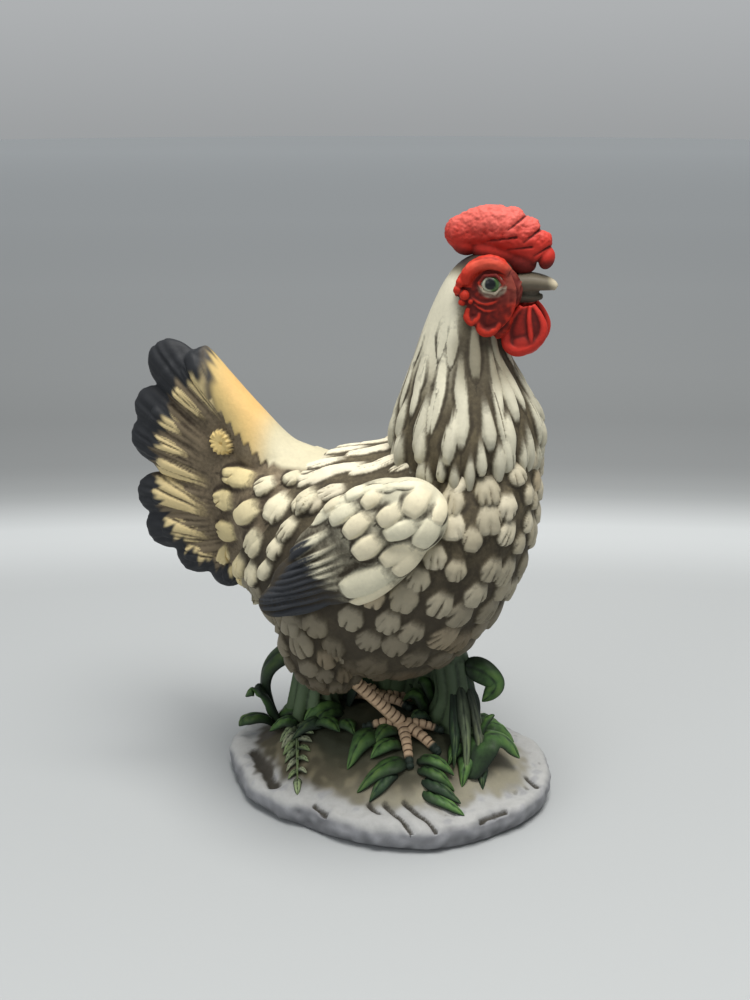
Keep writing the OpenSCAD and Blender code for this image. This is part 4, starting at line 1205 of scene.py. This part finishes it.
# ---- Stalk clumps ----
# Two thick bundles of stems carry the body at breast and rump, with a few more stems behind
# each. They are the casting's real supports, and were painted a dull green to sink into the shade.
STALK = np.array([0.10, 0.15, 0.075])
BOTTLE = np.array([0.016, 0.026, 0.019])
leaf_mat = glazed_material("leaf_glaze", (0.010, 0.017, 0.011), wiped=0.6, blotch=0.3, bump=0.18,
    sheen_coat=0.12)
for name, foot, top, turns in [("front_prop", (22, 7), (19.5, 6, 52), 9),
        ("rear_prop", (-30, 6), (-28, 7, 52), 8)]:
    bm = bmesh.new()
    rod(bm, [(*above(*foot, -3), 6.5), (0.5 * (foot[0] + top[0]), 0.5 * (foot[1] + top[1]), 34, 5.2),
            (*top, 6.0)], count=12, sides=20, up=(1, 0, 0))
    for j in range(turns):
        a = 2 * math.pi * j / turns + 0.3
        r = rng.uniform(7.0, 9.5)
        x, y = foot[0] + r * math.cos(a), foot[1] + r * math.sin(a)
        rod(bm, [(*above(x, y, -1.5), 2.6), (foot[0] + 5.4 * math.cos(a + 0.25),
                    foot[1] + 5.4 * math.sin(a + 0.25), 33, 2.2), (top[0] + 5.2 * math.cos(a + 0.4),
                    top[1] + 5.2 * math.sin(a + 0.4), top[2] - 4, 2.0)], count=14, sides=10, flat=0.7,
            up=(0.3, 1, 0))
    for j in range(5):
        x = (15 - 4.2 * j) if name == "front_prop" else (-23 + 4.2 * j)
        rod(bm, [(*above(x, 15, -1.5), 2.6), (x + 1.5, 13.5 + j % 2, 31, 3.3),
                (x + 3.2, 12, 39 + j % 3, 2.8), (x + 6, 10, 44, 1.6)], count=12, sides=10, up=(0, 1, 0),
            flat=0.7)
    clump = clay(bm, "leaf_" + name, 0.5)
    co, no = points_of(clump)
    shade = smooth(26, 40, co[:, 2])
    relief = np.clip(0.7 - 1.3 * hollows(clump, 12), 0, 1) * (1 - 0.2 * shade)
    finish(clump, leaf_mat, [name], mix(STALK, BOTTLE, 0.5 * shade), relief)


# ---- Leaves ----
# Thick fleshy blades pressed on to the earth in sprays, each folded along its middle and arched.
# They are bottle green in the folds and brushed with fresh green on the crowns; the crowns also
# carry a painted highlight, and the edges and roots painted shade.
FRESH = np.array([0.060, 0.138, 0.036])
DEEP = np.array([0.026, 0.060, 0.026])


def blade(bm, layer, path, width, tone, fold=0.35, thick=1.5, lean=(0, 0, 1)):
    """One leaf from (x, y, z) points in millimetres, as a closed skin with its paint in a layer."""
    along, across = 18, 10
    line = flow([(*p, 0) for p in path], along + 1)[:, :3]
    grid = {}
    for face_side in (1, -1):
        for i in range(along + 1):
            t = i / along
            tangent = unit(line[min(i + 1, along)] - line[max(i - 1, 0)])
            over = unit(np.array(lean, float) - tangent * (np.array(lean, float) @ tangent))
            side = np.cross(tangent, over)
            w = 0.5 * width * (math.sin(math.pi * min(1, 0.12 + 0.88 * t ** 0.85)) ** 0.75 if t < 1 else 0.02)
            w *= 1 + 0.10 * math.sin(9 * t + path[0][0])
            for j in range(across + 1):
                s = -1 + 2 * j / across
                rib = 0.22 * math.cos(3.1 * (t * along * 0.55 - 1.6 * abs(s)))
                bulge = thick * 0.5 * math.sqrt(max(0.0, 1 - s * s * 0.98)) * min(1, 0.35 + 3 * t,
                    0.25 + 3 * (1 - t))
                arch = (-fold * w * s * s * 0.9) - 0.38 * math.exp(-(s / 0.13) ** 2) * face_side * (
                    face_side > 0)
                spot = line[i] + side * w * s + over * (arch + face_side * bulge
                    + (rib * (face_side > 0) * (1 - s * s)))
                key = (face_side if 0 < j < across else 0, i, j)
                if key not in grid:
                    v = bm.verts.new(Vector(spot) * MM)
                    # lit and sunlit are painted light: paler crowns with a painted highlight, and painted
                    # shade towards the edges and the root.
                    lit = (1 - 0.8 * abs(s) ** 3) * (0.2 + 0.8 * min(1, 1.7 * t)) * (0.85 + 0.15
                        * math.sin(7 * t + 5 * s + path[0][0]))
                    groove = 1 - 0.6 * math.exp(-(s / 0.12) ** 2) - 0.4 * max(0, -rib / 0.22) * (1 - s * s)
                    sunlit = max(0.0, lit * groove - 0.6) * 1.6
                    v[layer[0]] = Vector((*(tone * (0.45 + 0.7 * lit) + np.array((0.085, 0.10, 0.02))
                                * sunlit), 1))
                    v[layer[1]] = max(0.0, lit * groove) if face_side > 0 or j in (0, across) else 0.12
                    grid[key] = v
    for face_side in (1, -1):
        for i in range(along):
            for j in range(across):
                quad = [grid[(face_side if 0 < q < across else 0, p, q)] for p,
                    q in ((i, j), (i + 1, j), (i + 1, j + 1), (i, j + 1))]
                if len(set(quad)) > 2:
                    bm.faces.new(quad if face_side > 0 else quad[::-1])
    for i in (0, along):
        loop = [grid[(1 if 0 < j < across else 0, i, j)] for j in range(across + 1)]
        under = [grid[(-1 if 0 < j < across else 0, i, j)] for j in range(across - 1, 0, -1)]
        bm.faces.new(loop + under)


def leaf_piece(name, nodes, blades, shades=(FRESH,)):
    bm = bmesh.new()
    layer = (bm.verts.layers.float_color.new("paint"), bm.verts.layers.float.new("relief"))
    for i, (path, width, extra) in enumerate(blades):
        tone = np.array(shades[i % len(shades)]) * rng.uniform(0.85, 1.15)
        blade(bm, layer, path, width, tone, **extra)
    obj = put(bm, name, leaf_mat)
    smoother = obj.modifiers.new("round", "SUBSURF")
    smoother.levels = smoother.render_levels = 1
    finish(obj, leaf_mat, nodes)
    return obj


def ground_leaf(x0, y0, x1, y1, width, lift, rise, **extra):
    """A leaf lying on the earth: it springs up from its root and droops to its tip."""
    path = []
    x1, y1, lift = x1 + 0.12 * (x0 - x1), y1 + 0.12 * (y0 - y1), 0.8 * lift
    for t in (0, 0.2, 0.45, 0.72, 1.0):
        x, y = x0 + (x1 - x0) * t, y0 + (y1 - y0) * t
        path.append((x, y, soil(x, y) - 0.9 + lift * math.sin(math.pi * min(1, t * 1.02)) * 0.85 + rise * t
                + 1.0 * t))
    return path, width, extra


# Each leaf of a spray: where it is rooted and where it ends in plan, its width, and how high its
# middle and its tip stand up.
SPRAYS = [[(-19, 7, -31, -7, 11, 5, 2), (-18, 3, -27, -10, 9, 4, 0), (-21, -4, -33, -14, 8, 4, 1)],
    [(-25, -5, -13, -13, 8.5, 4.5, 1), (-16, -5, -8, -14, 7, 3, 1)],
    [(-32, -2, -44, -6, 8, 4, 2), (-31, 4, -45, 4, 9, 5, 2)],
    [(-2, -8, -9, -27, 10, 5, 0), (4, -6, -2, -19, 8, 4.5, 1)], [(7, -12, -2, -23, 8.5, 3.5, 1),
        (11, -18, -5, -33, 9, 3.5, 0), (8, -23, 1, -35, 6, 2.5, 0)], [(14, -17, 29, -20, 6.5, 4, 2),
        (15, -20, 30, -24, 6.5, 3.5, 1), (17, -23, 33, -27.5, 6.5, 3, 1), (18, -26, 35, -31, 6.5, 2.5, 0)],
    [(30, -8, 30, -22, 7, 5, 0), (27, -4, 24, -17, 6, 4, 0), (33, -6, 37, -19, 5.5, 3, 0)],
    [(15, 10, 5, 14, 8, 14, 6), (13, 6, 2, 6, 8, 10, 3), (14, 2, 8, -6, 7, 5, 3),
        (10, 14, -2, 20, 9, 17, 3)], [(-16, 12, -26, 20, 8, 9, 5), (-12, 14, -4, 22, 8, 14, 4),
        (-18, 8, -6, 12, 9, 13, 4)], [(30, 10, 44, 12, 9, 6, 2), (27, 15, 38, 26, 9, 6, 0)],
    [(-34, 14, -47, 17, 8, 5, 1), (-30, 18, -38, 29, 8, 4, 0)],
    [(4, 24, -4, 33, 8, 5, 1), (8, 22, 12, 35, 8, 5, 0)]]
for k, pair in enumerate(SPRAYS):
    leaf_piece(f"leaf_spray_{k + 1}", [f"leaves_{k + 1}"], [ground_leaf(*row, fold=0.3, thick=2.4)
            for row in pair], shades=(FRESH, FRESH * 0.8, DEEP))


leaf_piece("tall_leaf", ["front_tall_leaf"],
    [([(25, 4, 46), (29, 4, 45.4), (33.5, 3, 44), (36.5, 2.6, 41), (34.6, 2.4, 37), (32, 2, 34)], 9,
            dict(lean=(0.3, -1, 0.4), fold=0.25, thick=3.0)),
        (over_earth((29, 4, -1), (27, 4, 8), (25.4, 4, 16), (24.6, 4, 24)), 9,
            dict(lean=(0.2, -1, 0.2), thick=3.2)),
        (over_earth((31, -3, -1), (33, -4, 8), (35, -4, 14), (37.5, -4, 17.5)), 7,
            dict(lean=(-1, 0, 0.5), thick=2))], shades=(FRESH * 0.9, DEEP, FRESH * 0.8))
leaf_piece("broad_leaf", ["front_broad_leaf"],
    [([above(31, -17, 0.5), (33, -10, 23.5), (37, -5, 25.5), (42, -2.5, 22.5), (46.5, -3, 17)], 14,
            dict(fold=0.3, thick=2.6)), ([(24, 3, 40), (27, -4, 32), (29.5, -11, 25), above(31, -19, 1.2)],
            4.4, dict(thick=1.8, lean=(0.3, -1, 1))),
        ([(22, 2, 38), (24, -5, 30), (25.6, -11, 24.5), above(26.5, -17, 1.2)], 4,
            dict(thick=1.8, lean=(0.2, -1, 1))),
        ([(27, 3, 38), (31, -3, 30), (33.6, -9, 25), above(35.5, -16, 1.0)], 4,
            dict(thick=1.8, lean=(0.4, -1, 1)))], shades=(FRESH * 1.15, (0.095, 0.125, 0.07), DEEP,
        (0.10, 0.12, 0.075)))
leaf_piece("curled_leaf", ["rear_curled_leaf"],
    [(over_earth((-43, 7, -1), (-47, 7, 8), (-48.5, 7, 17), (-46, 7, 24), (-40, 7, 26.5), (-36, 7, 23),
            (-34, 7, 17)), 12, dict(lean=(-1, -0.5, 0.2), fold=0.2, thick=3.6)),
        (over_earth((-42, 3, -1), (-45, 3, 6), (-47, 2, 13), (-50, 0, 17), (-53, -1, 15)), 9,
            dict(lean=(-1, -0.6, 0.3), thick=3.0)),
        (over_earth((-43, 4, -1), (-47, 0, 6), (-52, -4, 8), (-54, -6, 6)), 8.5, dict(thick=2.2))],
    shades=(FRESH * 0.45, FRESH * 0.7))
fern = []
root, end = np.array([-33.0, -2.0]), np.array([-24.0, -30.0])
for i in range(6):
    spot = root + (end - root) * (0.08 + 0.14 * i)
    size = 8.6 - 0.85 * i
    for turn in (-1, 1):
        aim = unit(end - root)
        out = np.array([-aim[1] * turn, aim[0] * turn]) * 0.75 + aim * 0.7
        tip = spot + unit(out) * size
        fern.append((over_earth((*spot, 0.2), (*(0.5 * (spot + tip)), 1.5), (*tip, 0.7)), 0.55 * size,
                dict(thick=1.3, fold=0.25)))
stalk = [(*(root + (end - root) * t), up) for t, up in ((0.88, 0.3), (1.0, 1.4), (1.14, 0.6))]
fern.append((over_earth(*stalk), 3.2, dict(thick=1.2)))
fern.append((over_earth((*root, 0.2), (*(0.5 * (root + end)), 0.9), (*end, 0.7)), 1.6, dict(thick=1.4)))
leaf_piece("fern", ["fern_sprig"], fern,
    shades=((0.24, 0.30, 0.16), (0.20, 0.27, 0.12), (0.34, 0.37, 0.24)))
